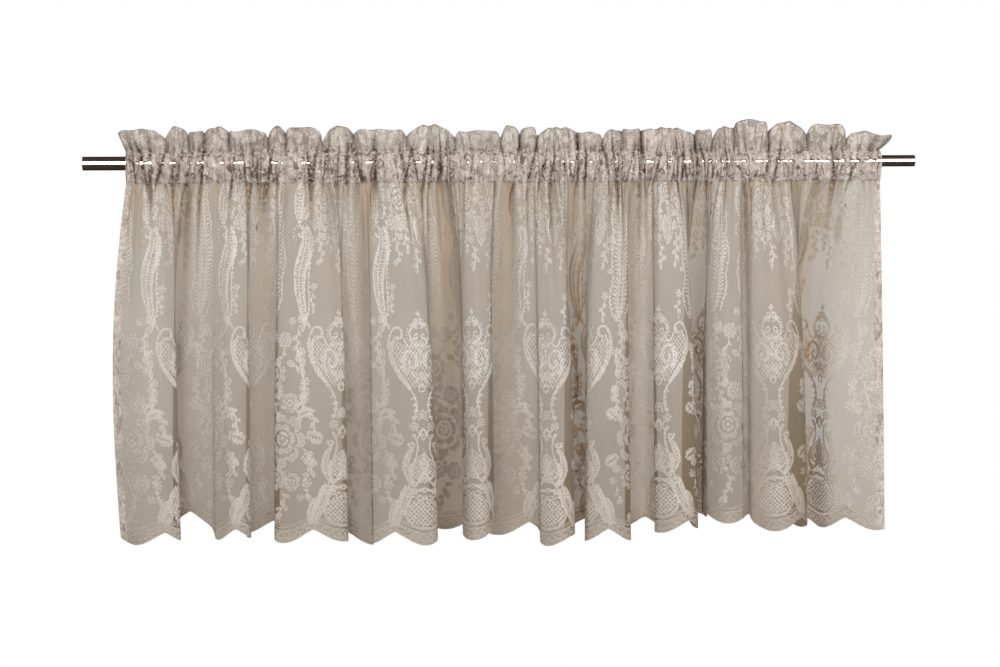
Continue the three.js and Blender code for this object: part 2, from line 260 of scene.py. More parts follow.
def creaseDepth(s, v):
    # The sum of the three nearest puckers: each a narrow V across the panel that leans with height.
    # It is full between the two rows of stitches and dies out below them and up the heading.
    up = frontLevel(v) - cloth["hangLength"]
    nearest = np.round(s / crease["pitch"]).astype(int)
    total = np.zeros(np.broadcast(s, v).shape)
    for offset in (-1, 0, 1):
        k = np.clip(nearest + offset, 0, creaseCount - 1)
        lean = np.clip(up, crease["lowest"], crease["highest"]) - crease["pivot"]
        middle = creasePlace[k] + creaseSlant[k] * lean
        below = np.exp(-np.clip(-up, 0, None) / creaseFall[k])
        above = np.exp(-np.clip(up - cloth["pocketLength"], 0, None) / crease["rise"])
        total = total + creaseSize[k] * np.exp(-np.abs(s - middle) / creaseHalf[k]) * below * above
    return total


def scallopRise(s):
    # The edge's height over the scallops' lowest points: low in the middle, sharp at the cusps.
    share = np.mod((s - scallop["first"]) / scallop["pitch"], 1)
    return scallop["rise"] * (1 - np.sin(np.pi * share) ** scallop["roundness"])


def troughDepth(s, drop):
    # The sum of the troughs: each a bell across the panel that dies out down the drop.
    across = np.exp(-((s[..., None] - troughS) / troughRows[:, 2]) ** 2)
    down = np.exp(-(drop[..., None] / troughRows[:, 3]) ** 2)
    return (troughRows[:, 1] * across * down).sum(-1)


def hangingPoint(s, v):
    # The hanging part: x and reach go from the gathers at the seam to the hem line as the folds
    # open, faster near the top. Troughs, puckers, long ripples and the fine gathers are added.
    hem = [np.interp(s, hemLength, hemLine[:, i]) for i in range(3)]
    fullDrop = cloth["seam"] - hem[2]
    drop = fullDrop * (1 - v / cloth["hangLength"])
    fade = cloth["foldFade"]
    opened = (1 - np.exp(-drop / fade)) / (1 - np.exp(-fullDrop / fade))
    swing = np.sin(np.pi * np.clip(drop / fullDrop, 0, 1)) * np.exp(-s / cloth["sideBowReach"])
    fine = gatherWave(s) * np.exp(-np.clip(drop, 0, None) / gathers["fade"])
    x = np.interp(s, anchorS, anchorX) * (1 - opened) + hem[0] * opened + cloth["sideBow"] * swing
    x = x + gatherLean(s) * np.exp(-drop / gathers["fade"])
    begun = 1 - np.exp(-np.clip(drop, 0, None) / cloth["rippleStart"])
    quick = unevenness("quickRipple", s, v) * np.exp(-drop / cloth["rippleFade"])
    ripple = unevenness("ripple", s, v) + quick
    reach = hem[1] * opened + gathers["reach"] * fine - begun * troughDepth(s, drop) + ripple * begun
    return x, reach - creaseDepth(s, v) * cloth["hangingPuckers"], cloth["seam"] - drop


def pocketPoint(s, share, face):
    # The pocket's wall on one side, at a share of its flat height from the seam to the upper
    # stitches: straight from the seam till it touches the rod, round it, and straight up to the
    # stitches. It puffs out between the two rows and its puckers go in as far as the rod.
    x = np.interp(s, anchorS, anchorX)
    wide = np.where(x < rod["mouth"] + rod["stepRelief"], rod["wideRadius"], rod["narrowRadius"])
    r = wide + rod["clearance"]
    low, high = -cloth["seam"], cloth["stitchTop"]
    lowTurn, highTurn = np.arccos(r / low), np.arccos(r / high)
    lowRun, highRun = np.sqrt(low ** 2 - r ** 2), np.sqrt(high ** 2 - r ** 2)
    roundRun = r * (np.pi - lowTurn - highTurn)
    along = share * (lowRun + roundRun + highRun)
    angle = lowTurn + np.clip(along - lowRun, 0, roundRun) / r
    below = np.clip(along / lowRun, 0, 1)
    above = np.clip((along - lowRun - roundRun) / highRun, 0, 1)
    reach = r * np.sin(angle) * below * (1 - above)
    z = np.where(below < 1, -low + (low - r * np.cos(lowTurn)) * below, -r * np.cos(angle))
    z = z + (high - r * np.cos(highTurn)) * above
    swell = np.minimum(1, pocket["swell"] * share * (1 - share))
    wave = gathers["reach"] * gatherWave(s)
    v = cloth["hangLength"] + share * cloth["pocketLength"]
    dent = creaseDepth(s, v) * (1 - pocket["flatPuckers"] * (1 - swell))
    tumble = unevenness("pocketDents", s, v) * unevenness("crossedDents", s, v)
    wall = cloth["halfGap"] + reach + swell * (gathers["reach"] + gathers["puff"])
    x = x + gatherLean(s)
    outward = wall + face * (wave + pocket["tumble"] * tumble * swell - dent)
    return x, face * np.maximum(outward, reach + pocket["offRod"]), z


def ruffleAt(s):
    # The ruffle that holds s: its number, the share of its width that s is at, and its width.
    x = np.interp(s, anchorS, anchorX)
    lefts = ruffleRows[:, 0]
    i = np.clip(np.searchsorted(lefts, x, "right") - 1, 0, len(lefts) - 1)
    width = np.append(lefts[1:], cloth["pocketRight"])[i] - lefts[i]
    return i, np.clip((x - lefts[i]) / width, 0, 1), width


def headingPoint(s, share, face):
    # One layer of the heading, at a share of its height. Ruffles lean forward and back in turn and
    # swell in smaller lobes, their edges dip back, the corners flare, and the layers meet at the
    # fold, whose line is a little uneven.
    x = np.interp(s, anchorS, anchorX)
    i, across, width = ruffleAt(s)
    notch = np.where((across < 0.5) & (i > 0), ruffleRows[i - 1, 2], ruffleRows[i, 2])
    plateau = 1 - np.abs(2 * across - 1) ** heading["edgePower"]
    top = notch + (ruffleRows[i, 1] - notch + unevenness("headingTop", s)) * plateau
    forward = i % 2 == 0
    lean = heading["lean"] * np.sin(np.pi * across) * np.where(forward, 1, -heading["leanBack"])
    z = cloth["stitchTop"] + (top - cloth["stitchTop"]) * share
    height = (z - cloth["stitchTop"]) / (ruffleRows[0, 1] - cloth["stitchTop"])
    flare = (heading["flareLeft"] * np.exp(-s / heading["flareLeftReach"])
             + heading["flareRight"] * np.exp((s - flatWidth) / heading["flareRightReach"]))
    rollSize = heading["roll"] * np.where(forward, 1, -heading["rollBack"])
    rollSize = rollSize * (i > 0) * (i < len(ruffleRows) - 1)
    roll = rollSize * width * np.sin(2 * np.pi * (across - 0.5)) * share
    drift = unevenness("lobeDrift", s) + share * unevenness("lobeDriftUp", s)
    grown = heading["lobeAtFoot"] + (1 - heading["lobeAtFoot"]) * share
    lobes = heading["lobe"] * np.sin(s / heading["lobeLength"] + drift) * grown
    wave = gathers["reach"] * gatherWave(s) * (1 - gathers["upHeading"] * share)
    v = cloth["hangLength"] + cloth["pocketLength"] + share * cloth["headingLength"]
    fromEdge = np.minimum(across, 1 - across) * width
    dent = creaseDepth(s, v) * cloth["headingPuckers"]
    dent = dent + heading["dip"] * np.exp(-fromEdge / heading["dipWidth"])
    gap = cloth["halfGap"] + heading["gap"] * np.sin(np.pi * share)
    gap = gap * np.sqrt(np.clip(1 - share ** 8, 0, 1))
    x = x + gatherLean(s) * (1 - share)
    return x + height * flare + roll, wave + lobes + lean * share - dent + face * gap, z


def clothPoint(s, v):
    # The place of flat position (s, v), in metres, stretch by stretch up the panel.
    s, v = np.broadcast_arrays(np.asarray(s, float), np.asarray(v, float))
    ends = np.cumsum([cloth["hangLength"], cloth["pocketLength"], cloth["headingLength"],
                      cloth["headingLength"], cloth["pocketLength"]])
    parts = [
        hangingPoint(s, np.minimum(v, ends[0])),
        pocketPoint(s, np.clip((v - ends[0]) / cloth["pocketLength"], 0, 1), 1),
        headingPoint(s, np.clip((v - ends[1]) / cloth["headingLength"], 0, 1), 1),
        headingPoint(s, np.clip((ends[3] - v) / cloth["headingLength"], 0, 1), -1),
        pocketPoint(s, np.clip((ends[4] - v) / cloth["pocketLength"], 0, 1), -1),
    ]
    stretch = np.searchsorted(ends[:-1], v, "right")
    x, reach, z = (np.choose(stretch, [part[i] for part in parts]) for i in range(3))
    return np.stack([x, -reach, z], -1) * metre


def clothNormal(s, v, step=0.6):
    # The face's direction, towards the front of the hanging part: across the panel's two slopes.
    along = clothPoint(s + step, v) - clothPoint(s - step, v)
    up = clothPoint(s, v + step) - clothPoint(s, v - step)
    normal = np.cross(along, up)
    return normal / np.maximum(np.linalg.norm(normal, axis=-1, keepdims=True), 1e-9)


def valleyAt(s, values):
    # One value for each valley, spread over it as a squared sine between the crests beside it.
    i = np.clip(np.searchsorted(crestMiddles, s), 0, len(values) - 1)
    across = np.clip((s - anchorS[i]) / (anchorS[i + 1] - anchorS[i]), 0, 1)
    return values[i] * np.sin(np.pi * across) ** 2


def paintedShadeAt(s, v):
    # Painted shade: 0 on the crests to 1 in the deepest valleys, troughs and puckers, where the yarn's
    # tone is darkened for the shade that falls there. A valley counts by its own share, and where the
    # cloth turns away at a fold's side the painted shade deepens a little. The last panel on the right
    # hangs alone, so it stays light. Shade is painted between the heading's ruffles too, and in the
    # pocket in the gathers' own valleys.
    s, v = np.broadcast_arrays(np.asarray(s, float), np.asarray(v, float))
    low = np.minimum(v, cloth["hangLength"])
    _, reach, z = hangingPoint(s, low)
    drop = cloth["seam"] - z
    begun = np.clip(drop / depth["valleyDrop"], 0, 1)
    share = valleyShadeShare[np.clip(np.searchsorted(crestMiddles, s), 0, len(valleyShadeShare) - 1)]
    share = share * (1 - sheerAt(s))
    valley = np.clip((3 * begun - 3 - reach) / depth["valleyReach"], 0, 1) * share
    sideways = np.abs(clothNormal(s, low, 2.0)[..., 0])
    side = np.clip(sideways - depth["sideFrom"], 0, depth["sideRoom"]) * share
    trough = np.clip(troughDepth(s, drop) / depth["troughDepth"], 0, depth["troughMost"])
    trough = trough * np.exp(-np.clip(drop, 0, None) / depth["troughFade"])
    up = frontLevel(v) - cloth["hangLength"]
    hanging = np.where(up < 0, valley * depth["valley"] + trough + side * depth["side"], 0)
    pucker = creaseDepth(s, v) / np.where(up < 0, depth["puckerBelow"], depth["puckerAbove"])
    pocketShare = np.exp(np.clip(up, None, 0) / depth["gatherFade"])
    pocketShare = pocketShare * np.clip((cloth["pocketLength"] + 6 - up) / 10, 0, 1)
    gathered = np.clip(-gatherWave(s) - depth["gatherFrom"], 0, 1) * pocketShare * depth["gather"]
    _, across, width = ruffleAt(s)
    notch = np.exp(-np.minimum(across, 1 - across) * width / depth["notchWidth"]) * depth["notch"]
    notch = notch * np.clip((up - cloth["pocketLength"] + 8) / 14, 0, 1)
    return np.clip(hanging + pucker + notch + gathered, 0, 1)


def sheerAt(s):
    # How sheer the panel looks: 1 in the last stretch on the right, where it hangs alone, about a
    # third of that in the first one on the left, and each valley's own share.
    right = np.clip((s - flatWidth + sheer["right"]) / sheer["fade"], 0, 1)
    left = np.clip((sheer["left"] - s) / sheer["fade"], 0, 1)
    return np.clip(right + sheer["leftShare"] * left + valleyAt(s, valleySheer), 0, 1)


def addAttribute(mesh, label, values, kind="FLOAT"):
    # One value, or one triple, for each of the mesh's points.
    layer = mesh.attributes.new(label, kind, "POINT")
    field = "vector" if kind == "FLOAT_VECTOR" else "value"
    layer.data.foreach_set(field, values.astype(np.float32).ravel())


def makeObject(name, points, faces, uv, material, s, v, inset=None):
    # Faces are rows of four corners. The UV layer holds the flat position in metres, and two
    # attributes hold the painted shade and how sheer the cloth is at each point. A motif has two more:
    # its glow, and its offset from the middle line, half width and distance to the nearer end.
    mesh = bpy.data.meshes.new(name)
    mesh.from_pydata(points.reshape(-1, 3).tolist(), [], faces.tolist())
    layer = mesh.uv_layers.new(name="flat")
    corners = np.empty(len(mesh.loops), dtype=np.int32)
    mesh.loops.foreach_get("vertex_index", corners)
    layer.data.foreach_set("uv", uv.reshape(-1, 2)[corners].astype(np.float32).ravel())
    if inset is not None:
        drop = cloth["hangLength"] - v
        share = np.where(drop > 0, np.clip(glowing["atSeam"] + drop / glowing["drop"], 0, 1), 0)
        addAttribute(mesh, "inset", inset, "FLOAT_VECTOR")
        addAttribute(mesh, "glow", valleyAt(s, valleyGlow) * share)
    addAttribute(mesh, "paintedShade", paintedShadeAt(s, v))
    addAttribute(mesh, "sheer", sheerAt(s))
    mesh.polygons.foreach_set("use_smooth", np.ones(len(mesh.polygons), dtype=bool))
    mesh.materials.append(material)
    mesh.update()
    thing = bpy.data.objects.new(name, mesh)
    bpy.context.scene.collection.objects.link(thing)
    return thing


def gridFaces(rows, columns):
    # The quads of a grid of points stored row by row.
    i, j = np.meshgrid(np.arange(rows - 1), np.arange(columns - 1), indexing="ij")
    a = (i * columns + j).ravel()
    return np.stack([a, a + 1, a + columns + 1, a + columns], -1)


# A patch is a grid of flat points (along, across, 2). A motif is a list of patches.

def direction(radians):
    # The unit step at this angle.
    return np.array([math.cos(radians), math.sin(radians)])


def turned(points, degrees):
    # The points turned about the origin.
    a = math.radians(degrees)
    return points @ np.array([[math.cos(a), math.sin(a)], [-math.sin(a), math.cos(a)]])


def evenly(line, count):
    # The same line with its points at equal steps.
    run = running(line)
    at = np.linspace(0, run[-1], count)
    return np.stack([np.interp(at, run, line[:, i]) for i in range(2)], -1)


def drawn(points):
    # A smooth line through the points, in steps of about 3 mm.
    line = smoothCurve(points, 8)
    return evenly(line, max(3, int(running(line)[-1] / 3) + 1))


def arcLine(centre, radius, start, end, count, squash=1.0):
    # Points on a circle between two angles in degrees, with the heights squashed if asked.
    a = np.radians(np.linspace(start, end, count))
    return np.stack([centre[0] + radius * np.cos(a), centre[1] + radius * squash * np.sin(a)], -1)


def spiralLine(centre, inner, outer, start, end, count):
    # The radius grows evenly with the angle.
    a = np.radians(np.linspace(start, end, count))
    r = np.linspace(inner, outer, count)
    return np.stack([centre[0] + r * np.cos(a), centre[1] + r * np.sin(a)], -1)


def sideways(line):
    # The unit direction to the left of the line at each point.
    slope = np.gradient(line, axis=0)
    slope = slope / np.maximum(np.linalg.norm(slope, axis=1, keepdims=True), 1e-9)
    return np.stack([-slope[:, 1], slope[:, 0]], -1)


def band(line, width, across=2, bold=1.3):
    # A ribbon along the line; width may change along it.
    half = np.broadcast_to(np.asarray(width, float) / 2 * bold, len(line))[:, None, None]
    spread = np.linspace(-1, 1, across)[None, :, None]
    return line[:, None] + sideways(line)[:, None] * half * spread


def stroke(points, width):
    # A ribbon of one width along the smooth line through the points.
    return band(drawn(points), width)


def ring(centre, radius, width, count=9, squash=1.0, start=0):
    # A ribbon all the way round a circle.
    return band(arcLine(centre, radius, start, start + 360, count, squash), width)


def petal(base, tip, width, bend=0.0, count=6, power=0.8, across=2, shift=0.45):
    # A pointed oval from base to tip: its width follows a half sine whose peak sits at shift, and
    # its middle line bows sideways by bend.
    base, tip = np.asarray(base, float), np.asarray(tip, float)
    t = np.linspace(0, 1, count)
    run = tip - base
    left = np.array([-run[1], run[0]]) / max(np.linalg.norm(run), 1e-9)
    line = base + run * t[:, None] + left * (bend * np.sin(np.pi * t))[:, None]
    profile = np.sin(np.pi * t ** (math.log(0.5) / math.log(shift))) ** power
    return band(line, width * np.maximum(profile, 0.04), across, bold=1.1)


def veinedLeaf(base, tip, width, teeth=0):
    # Two halves with a gap for the middle vein, or a row of teeth on each side of it if asked.
    base, tip = np.asarray(base, float), np.asarray(tip, float)
    run = tip - base
    length = np.linalg.norm(run)
    left = np.array([-run[1], run[0]]) / length
    parts = []
    for side in (-1, 1):
        for at in (np.arange(teeth) + 0.5) / max(teeth, 1):
            reach = width / 2 * math.sin(math.pi * at ** 0.8) ** 0.7
            root = base + run * at + left * side * 0.5
            end = root + run / length * reach * 0.75 + left * side * reach
            parts.append(petal(root, end, length / teeth * 0.86, count=4, power=0.6))
        if not teeth:
            aside = left * side * (width * 0.27)
            parts.append(petal(base + aside * 0.3, tip - aside * 0.1, width * 0.44,
                               bend=side * width * 0.24, count=7, power=0.75))
    return parts


def ringFlower(centre, radius, turn=0.0, petals=7, heart=True):
    # A daisy: petals round a small open ring.
    parts = []
    for k in range(petals):
        out = direction(math.radians(turn + 360 * k / petals)) * radius
        parts.append(petal(np.add(centre, out * 0.36), np.add(centre, out),
                           radius * 2.9375 / petals, count=4, power=0.55, shift=0.6))
    if heart:
        parts.append(ring(centre, radius * 0.22, radius * 0.17))
    return parts


def frillRing(centre, outer, inner, petals, turn, squash, frill=0.2, gap=9.0, across=3):
    # One ring of petals: each is the space between two arcs, bulging outwards with a notched edge.
    # Their widths and reaches vary a little round the ring. The gap is a share in hundredths.
    parts = []
    shares = 1 + 0.16 * np.sin(2.1 * np.arange(petals) + turn)
    edges = turn + 360 * np.concatenate([[0], np.cumsum(shares)]) / shares.sum()
    for k in range(petals):
        t = np.linspace(0, 1, 9)
        a = np.radians(edges[k] + (edges[k + 1] - edges[k]) * (gap / 200 + t * (1 - gap / 100)))
        bulge = np.sin(np.pi * t) ** 0.5 - 0.16 * np.exp(-((t - 0.5) / 0.1) ** 2)
        size = 1 + 0.05 * math.sin(3.7 * k + turn)
        out = outer * size * (1 - frill + frill * bulge)
        low = inner * (1 + frill * 0.8 * bulge)
        spread = np.linspace(0, 1, across)[None, :]
        r = low[:, None] + (out - low)[:, None] * spread
        x = centre[0] + r * np.cos(a)[:, None]
        y = centre[1] + r * np.sin(a)[:, None] * squash
        parts.append(np.stack([x, y], -1))
    return parts


def rose(centre, radius, turn=0.0):
    # Two rings of full petals round an open heart, with three curled petals and a bud in it.
    centre = np.asarray(centre, float)
    squash = 1.2  # a little taller than wide
    parts = []
    for outer, inner, petals, extra, high in ((1.0, 0.62, 8, 0, 0), (0.585, 0.34, 6, 22, 0.03)):
        parts += frillRing(centre + (0, high * radius), radius * outer, radius * inner, petals,
                           turn + extra, squash)
    heart = centre + (0, 0.05 * radius)
    for start in turn + 120 * np.arange(3):
        curl = arcLine(heart, radius * 0.22, start, start + 95, 7, squash)
        parts.append(band(curl, radius * 0.075))
    low, high = heart - (0, radius * 0.12), heart + (0, radius * 0.14)
    parts.append(petal(low, high, radius * 0.14, count=4))
    return parts


def frilledBloom(centre, radius, turn=0.0, squash=1.1):
    # A full flower: broad outer petals, a ring of small ones and a dot.
    centre = np.asarray(centre, float)
    parts = []
    for outer, inner, petals, extra, frill, gap in ((1.0, 0.47, 9, 0, 0.22, 11),
                                                    (0.42, 0.17, 6, 15, 0.2, 14)):
        parts += frillRing(centre, radius * outer, radius * inner, petals, turn + extra, squash,
                           frill, gap, across=2)
    half = (0, radius * 0.1)
    parts.append(petal(centre - half, centre + half, radius * 0.18, count=3))
    return parts


def spineLine(points, steps):
    # A smooth line, its length, and its points, left and forward directions in equal steps.
    line = drawn(points)
    dense = evenly(line, steps)
    left = sideways(dense)
    return line, running(line)[-1], dense, left, np.stack([left[:, 1], -left[:, 0]], -1)


def feather(points, reachLeft, reachRight, pitch=3.3, slant=0.9, fill=0.72, start=0.06, end=1.0,
            spine=1.5, curl=0.16, peak=0.5):
    # A spine with a row of barbs on each side. A barb leaves it slanting to the tip and bends in.
    # Its length follows a half sine along the spine, highest at the share peak.
    line, length, dense, left, ahead = spineLine(points, 200)
    power = math.log(0.5) / math.log(peak)
    parts = [band(evenly(line, max(5, int(length / 5))), spine)]
    for side, reach in ((1, reachLeft), (-1, reachRight)):
        if reach <= 0:
            continue
        for at in np.arange(start, end, pitch / length):
            k = min(199, int(at * 199))
            long = reach * (0.22 + 0.78 * math.sin(math.pi * min(at, 1) ** power) ** 0.8)
            root = dense[k] + left[k] * side * 0.5
            tip = root + (left[k] * side + ahead[k] * slant) * long / math.hypot(1, slant)
            parts.append(petal(root, tip, pitch * fill, bend=side * long * curl, count=5, power=0.5))
    return parts


def sprig(points, leafLength, leafWidth=None):
    # A thin stem with small leaves on alternate sides and one at its tip.
    leafWidth = (leafWidth or leafLength * 0.5) * 1.3
    leafLength = leafLength * 1.22
    line, length, dense, left, ahead = spineLine(points, 60)
    parts = [band(evenly(line, max(4, int(length / 4))), 1.2)]
    for n, at in enumerate(np.arange(0.18, 0.95, 6.5 / length)):
        k = int(at * 59)
        side = 1 if n % 2 == 0 else -1
        tip = dense[k] + (left[k] * side * 0.8 + ahead[k]) * leafLength * 0.78
        parts.append(petal(dense[k], tip, leafWidth, bend=side * 0.6, count=5))
    parts.append(petal(dense[-1], dense[-1] + ahead[-1] * leafLength, leafWidth, count=5))
    return parts


def each(motif, rows):
    # The parts of one motif after another, a row of its own values for each.
    return [part for row in rows for part in motif(*row)]


def petalsAt(rows, **settings):
    # A petal for each row.
    return [petal(*row, **settings) for row in rows]


def strokes(rows):
    # A stroke for each row.
    return [stroke(*row) for row in rows]


def beads(centre, radius, angles, length, width, lean=0.0, count=3):
    # Small petals that stand out from a circle, leaning round it by an angle in radians.
    parts = []
    for a in np.radians(angles):
        root = np.add(centre, radius * direction(a))
        parts.append(petal(root, root + length * direction(a + lean), width, count=count))
    return parts


def alongLine(line, shares, steps):
    # The points at the given shares of a line, to the nearest of its steps.
    return [evenly(line, steps)[int(t * (steps - 1))] for t in shares]


def inside(points, outline):
    # True for points inside the closed outline, by how often a level ray to the right crosses it.
    x, y = points[..., 0, None], points[..., 1, None]
    ax, ay = outline[:, 0], outline[:, 1]
    bx, by = np.roll(ax, -1), np.roll(ay, -1)
    spans = (ay > y) != (by > y)
    cross = ax + (y - ay) / np.where(by == ay, 1e-9, by - ay) * (bx - ax)
    return (spans & (x < cross)).sum(-1) % 2 == 1


def lattice(outline, pitch, width, angles=(45, -45), step=2.6):
    # Straight threads at each angle, kept where they lie inside the outline.
    parts = []
    low, high = outline.min(0), outline.max(0)
    middle, span = (low + high) / 2, np.linalg.norm(high - low) / 2
    for angle in angles:
        for off in np.arange(-span, span, pitch):
            along = np.arange(-span, span, step)
            line = turned(np.stack([along, np.full_like(along, off)], -1), -angle) + middle
            keep = inside(line, outline)
            edges = np.flatnonzero(np.diff(np.concatenate([[0], keep.astype(int), [0]])))
            for a, b in zip(edges[::2], edges[1::2]):
                if b - a >= 2:
                    parts.append(band(line[a:b], width))
    return parts


def mirror(part):
    # The mirror image about the axis; the grid is turned over so that it still faces forward.
    return (part * (-1, 1))[:, ::-1]


def mirrored(parts):
    # The parts and their mirror images.
    return parts + [mirror(part) for part in parts]


def moved(parts, by, flip=False):
    # The parts, or their mirror images, at another place.
    return [(mirror(part) if flip else part) + by for part in parts]


def closedOutline(half):
    # A closed outline from its right half, which runs from the axis to the axis.
    return np.vstack([half, (half * (-1, 1))[::-1]])


# Heights are over the scallops' lowest points. u is the distance from the motif's own axis.

def vaseMotif():
    # A vase on a woven basket, with scrolled wings, a round lid and a finial, all mirrored about
    # its axis.
    wing = drawn([(13, 207), (24, 220), (36, 236), (45, 256), (47, 276), (41, 293), (32, 297),
                  (26, 290), (29, 282), (34, 284)])
    innerWing = drawn([(15, 214), (26, 227), (36, 243), (41, 260), (41, 276), (37, 286)])
    half = [band(wing, 2.3), band(innerWing, 1.1)]
    rungs = np.linspace(0.06, 0.94, 17)
    rungEnds = zip(alongLine(wing[:int(len(wing) * 0.62)], rungs, 50), alongLine(innerWing, rungs, 50))
    half += [petal(a, b, 1.6, count=3) for a, b in rungEnds]
    half += [petal((25, 290), (29, 284), 5, count=4)]
    half += strokes([([(25, 283), (20, 273), (15, 270), (12, 274)], 2.0)])
    # the pair of scrolls in the body
    for size, width in ((1.0, 2.2), (0.72, 1.4)):
        scroll = [(15 + x * size, y) for x, y in ((9, 236), (12, 250), (4, 263 + 3 * size), (-9, 258),
                                                  (-10, 246), (-2, 241), (3, 248), (0, 252))]
        half.append(stroke(scroll, width))
    half += petalsAt([((15, 238), (10, 229), 4), ((18, 240), (23, 231), 3.5), ((20, 256), (28, 264), 3.4),
                    ((22, 250), (31, 254), 3.2), ((23, 244), (31, 243), 3.0),
                    ((5, 236), (13, 227), 3.4), ((3, 231), (9, 221), 3.0)])
    # the lid's ring with beads, and small curls in it
    half.append(band(arcLine((0, 287), 15, -88, 88, 17), 2.4))
    half += beads((0, 287), 18.0, np.linspace(-80, 80, 13), 2.2, 2.4)
    half.append(band(spiralLine((6.5, 286), 0.8, 5.2, -60, 330, 14), 1.3))
    half += petalsAt([((1.5, 276), (7, 272), 3), ((1.5, 296), (8, 299), 2.6)])
    # the finial of small rings
    half.append(ring((4.2, 306), 3.0, 1.3))
    half += petalsAt([((7, 303), (12, 300), 2.6), ((0.6, 313), (4, 318), 2.2, 0.0, 4)])
    # the neck: toothed straps that spread to the three flowers
    strap = drawn([(13, 207), (9.5, 196), (9, 184), (13, 170)])
    half.append(band(strap, 2.4))
    for p, out in zip(alongLine(strap, (0.15, 0.4, 0.62, 0.85), 30), (6, 4.6, 4.6, 5.5)):
        half += petalsAt([(p, p + (out, -3.5), 2.4), (p, p + (-out * 0.6, -3), 2.0)], count=4)
    half += ringFlower((12.5, 162), 7.0, 12, 8)
    half += petalsAt([((4, 172), (9, 170), 2.2), ((3, 158), (5, 150), 2.4)])
    # waist: crossing threads, curls at the sides
    half += strokes([([(0, 158), (5, 152), (9, 145), (9, 138)], 1.6),
                     ([(9, 158), (4, 149), (0, 143)], 1.6)])
    half.append(band(spiralLine((17, 137), 1.0, 5.4, -30, 400, 16), 1.8))
    half += petalsAt([((11, 143), (14, 152), 3.0), ((10, 150), (17, 149), 2.4)])
    half += strokes([([(9.5, 142), (9, 130), (12.5, 117), (18, 104), (19.5, 92), (14, 79)], 2.1)])
    # body: a plume in a lattice, and crossing bands under it
    half += petalsAt([((0.8, 99), (6, 110), 3.4), ((1, 106), (7.5, 119), 3.0), ((4, 97), (12, 103), 3.0)])
    half += strokes([([(0, 98), (6, 92), (12, 92), (17, 99)], 1.7),
                     ([(0, 92), (7, 86), (13, 85), (18, 90)], 1.7),
                     ([(2, 100), (8, 88), (13, 80)], 1.5)])
    # feathered wings beside the body
    half += feather([(13, 80), (20, 92), (23, 106), (19, 124), (15, 130)], 0, 11, pitch=3.5, slant=1.2)
    half += feather([(17, 82), (21, 96), (19, 112)], 6, 0, pitch=3.8, slant=1.4)
    # collar: two bands that cross
    half += strokes([([(0, 79), (6, 74), (13, 77), (20, 73)], 1.7),
                     ([(0, 72), (6, 77), (13, 71), (20, 77)], 1.7)])
    half += petalsAt([((20, 75), (26, 79), 3.4), ((0.5, 68), (5, 63), 3.2), ((5, 69), (11, 65), 3.0)])
    # basket rim and side curls
    half += strokes([([(0, 63), (8, 62), (14, 66), (20, 64), (24, 56)], 1.5),
                     ([(24, 56), (27, 44), (22, 31), (12, 25), (0, 23)], 2.4)])
    half.append(band(spiralLine((26, 68), 0.8, 5.0, 200, 560, 15), 1.8))
    half += strokes([([(31, 68), (34, 56), (34, 42)], 2.0)])
    parts = mirrored(half)
    # pieces on the axis
    parts += ringFlower((0, 178), 7.6, petals=9)
    parts += ringFlower((0, 307.5), 3.6, petals=6, heart=False)
    parts += petalsAt([((0, 311), (0, 322), 3.4), ((0, 109), (0, 126), 4.2), ((0, 97), (0, 108), 3.6),
                     ((0, 239), (0, 222), 5.2), ((0, 268), (0, 257), 4.2), ((0, 255), (0, 243), 3.4)])
    parts += [ring((0, 214), 4.0, 1.5, 11, 1.3), ring((0, 155), 3.4, 1.2, 9, 1.5, start=45)]
    # openwork fills
    body = drawn([(0, 132), (11, 118), (17, 104), (17, 92), (0, 84)])
    between = np.vstack([innerWing, drawn([(31, 280), (20, 271), (15, 276), (15, 284)]), [(0, 282)]])
    basket = drawn([(0, 61), (14, 62), (22, 54), (25, 43), (19, 30), (0, 25)])
    parts += lattice(closedOutline(body), 3.6, 0.8)
    parts += lattice(closedOutline(between), 4.4, 0.7, angles=(55, -55))
    parts += lattice(closedOutline(basket), 4.4, 1.25, step=2.2)
    # sprays that rise from the cusps on both sides of the basket
    spray = feather([(43, 24), (37, 38), (30, 52), (24, 66), (20, 74), (15, 75), (14, 70)], 9, 17,
                    pitch=3.4, slant=1.15, fill=0.7)
    spray += feather([(47, 24), (46, 36), (42, 50), (37, 60)], 6, 9, pitch=3.4, slant=1.2)
    return parts + mirrored(spray)


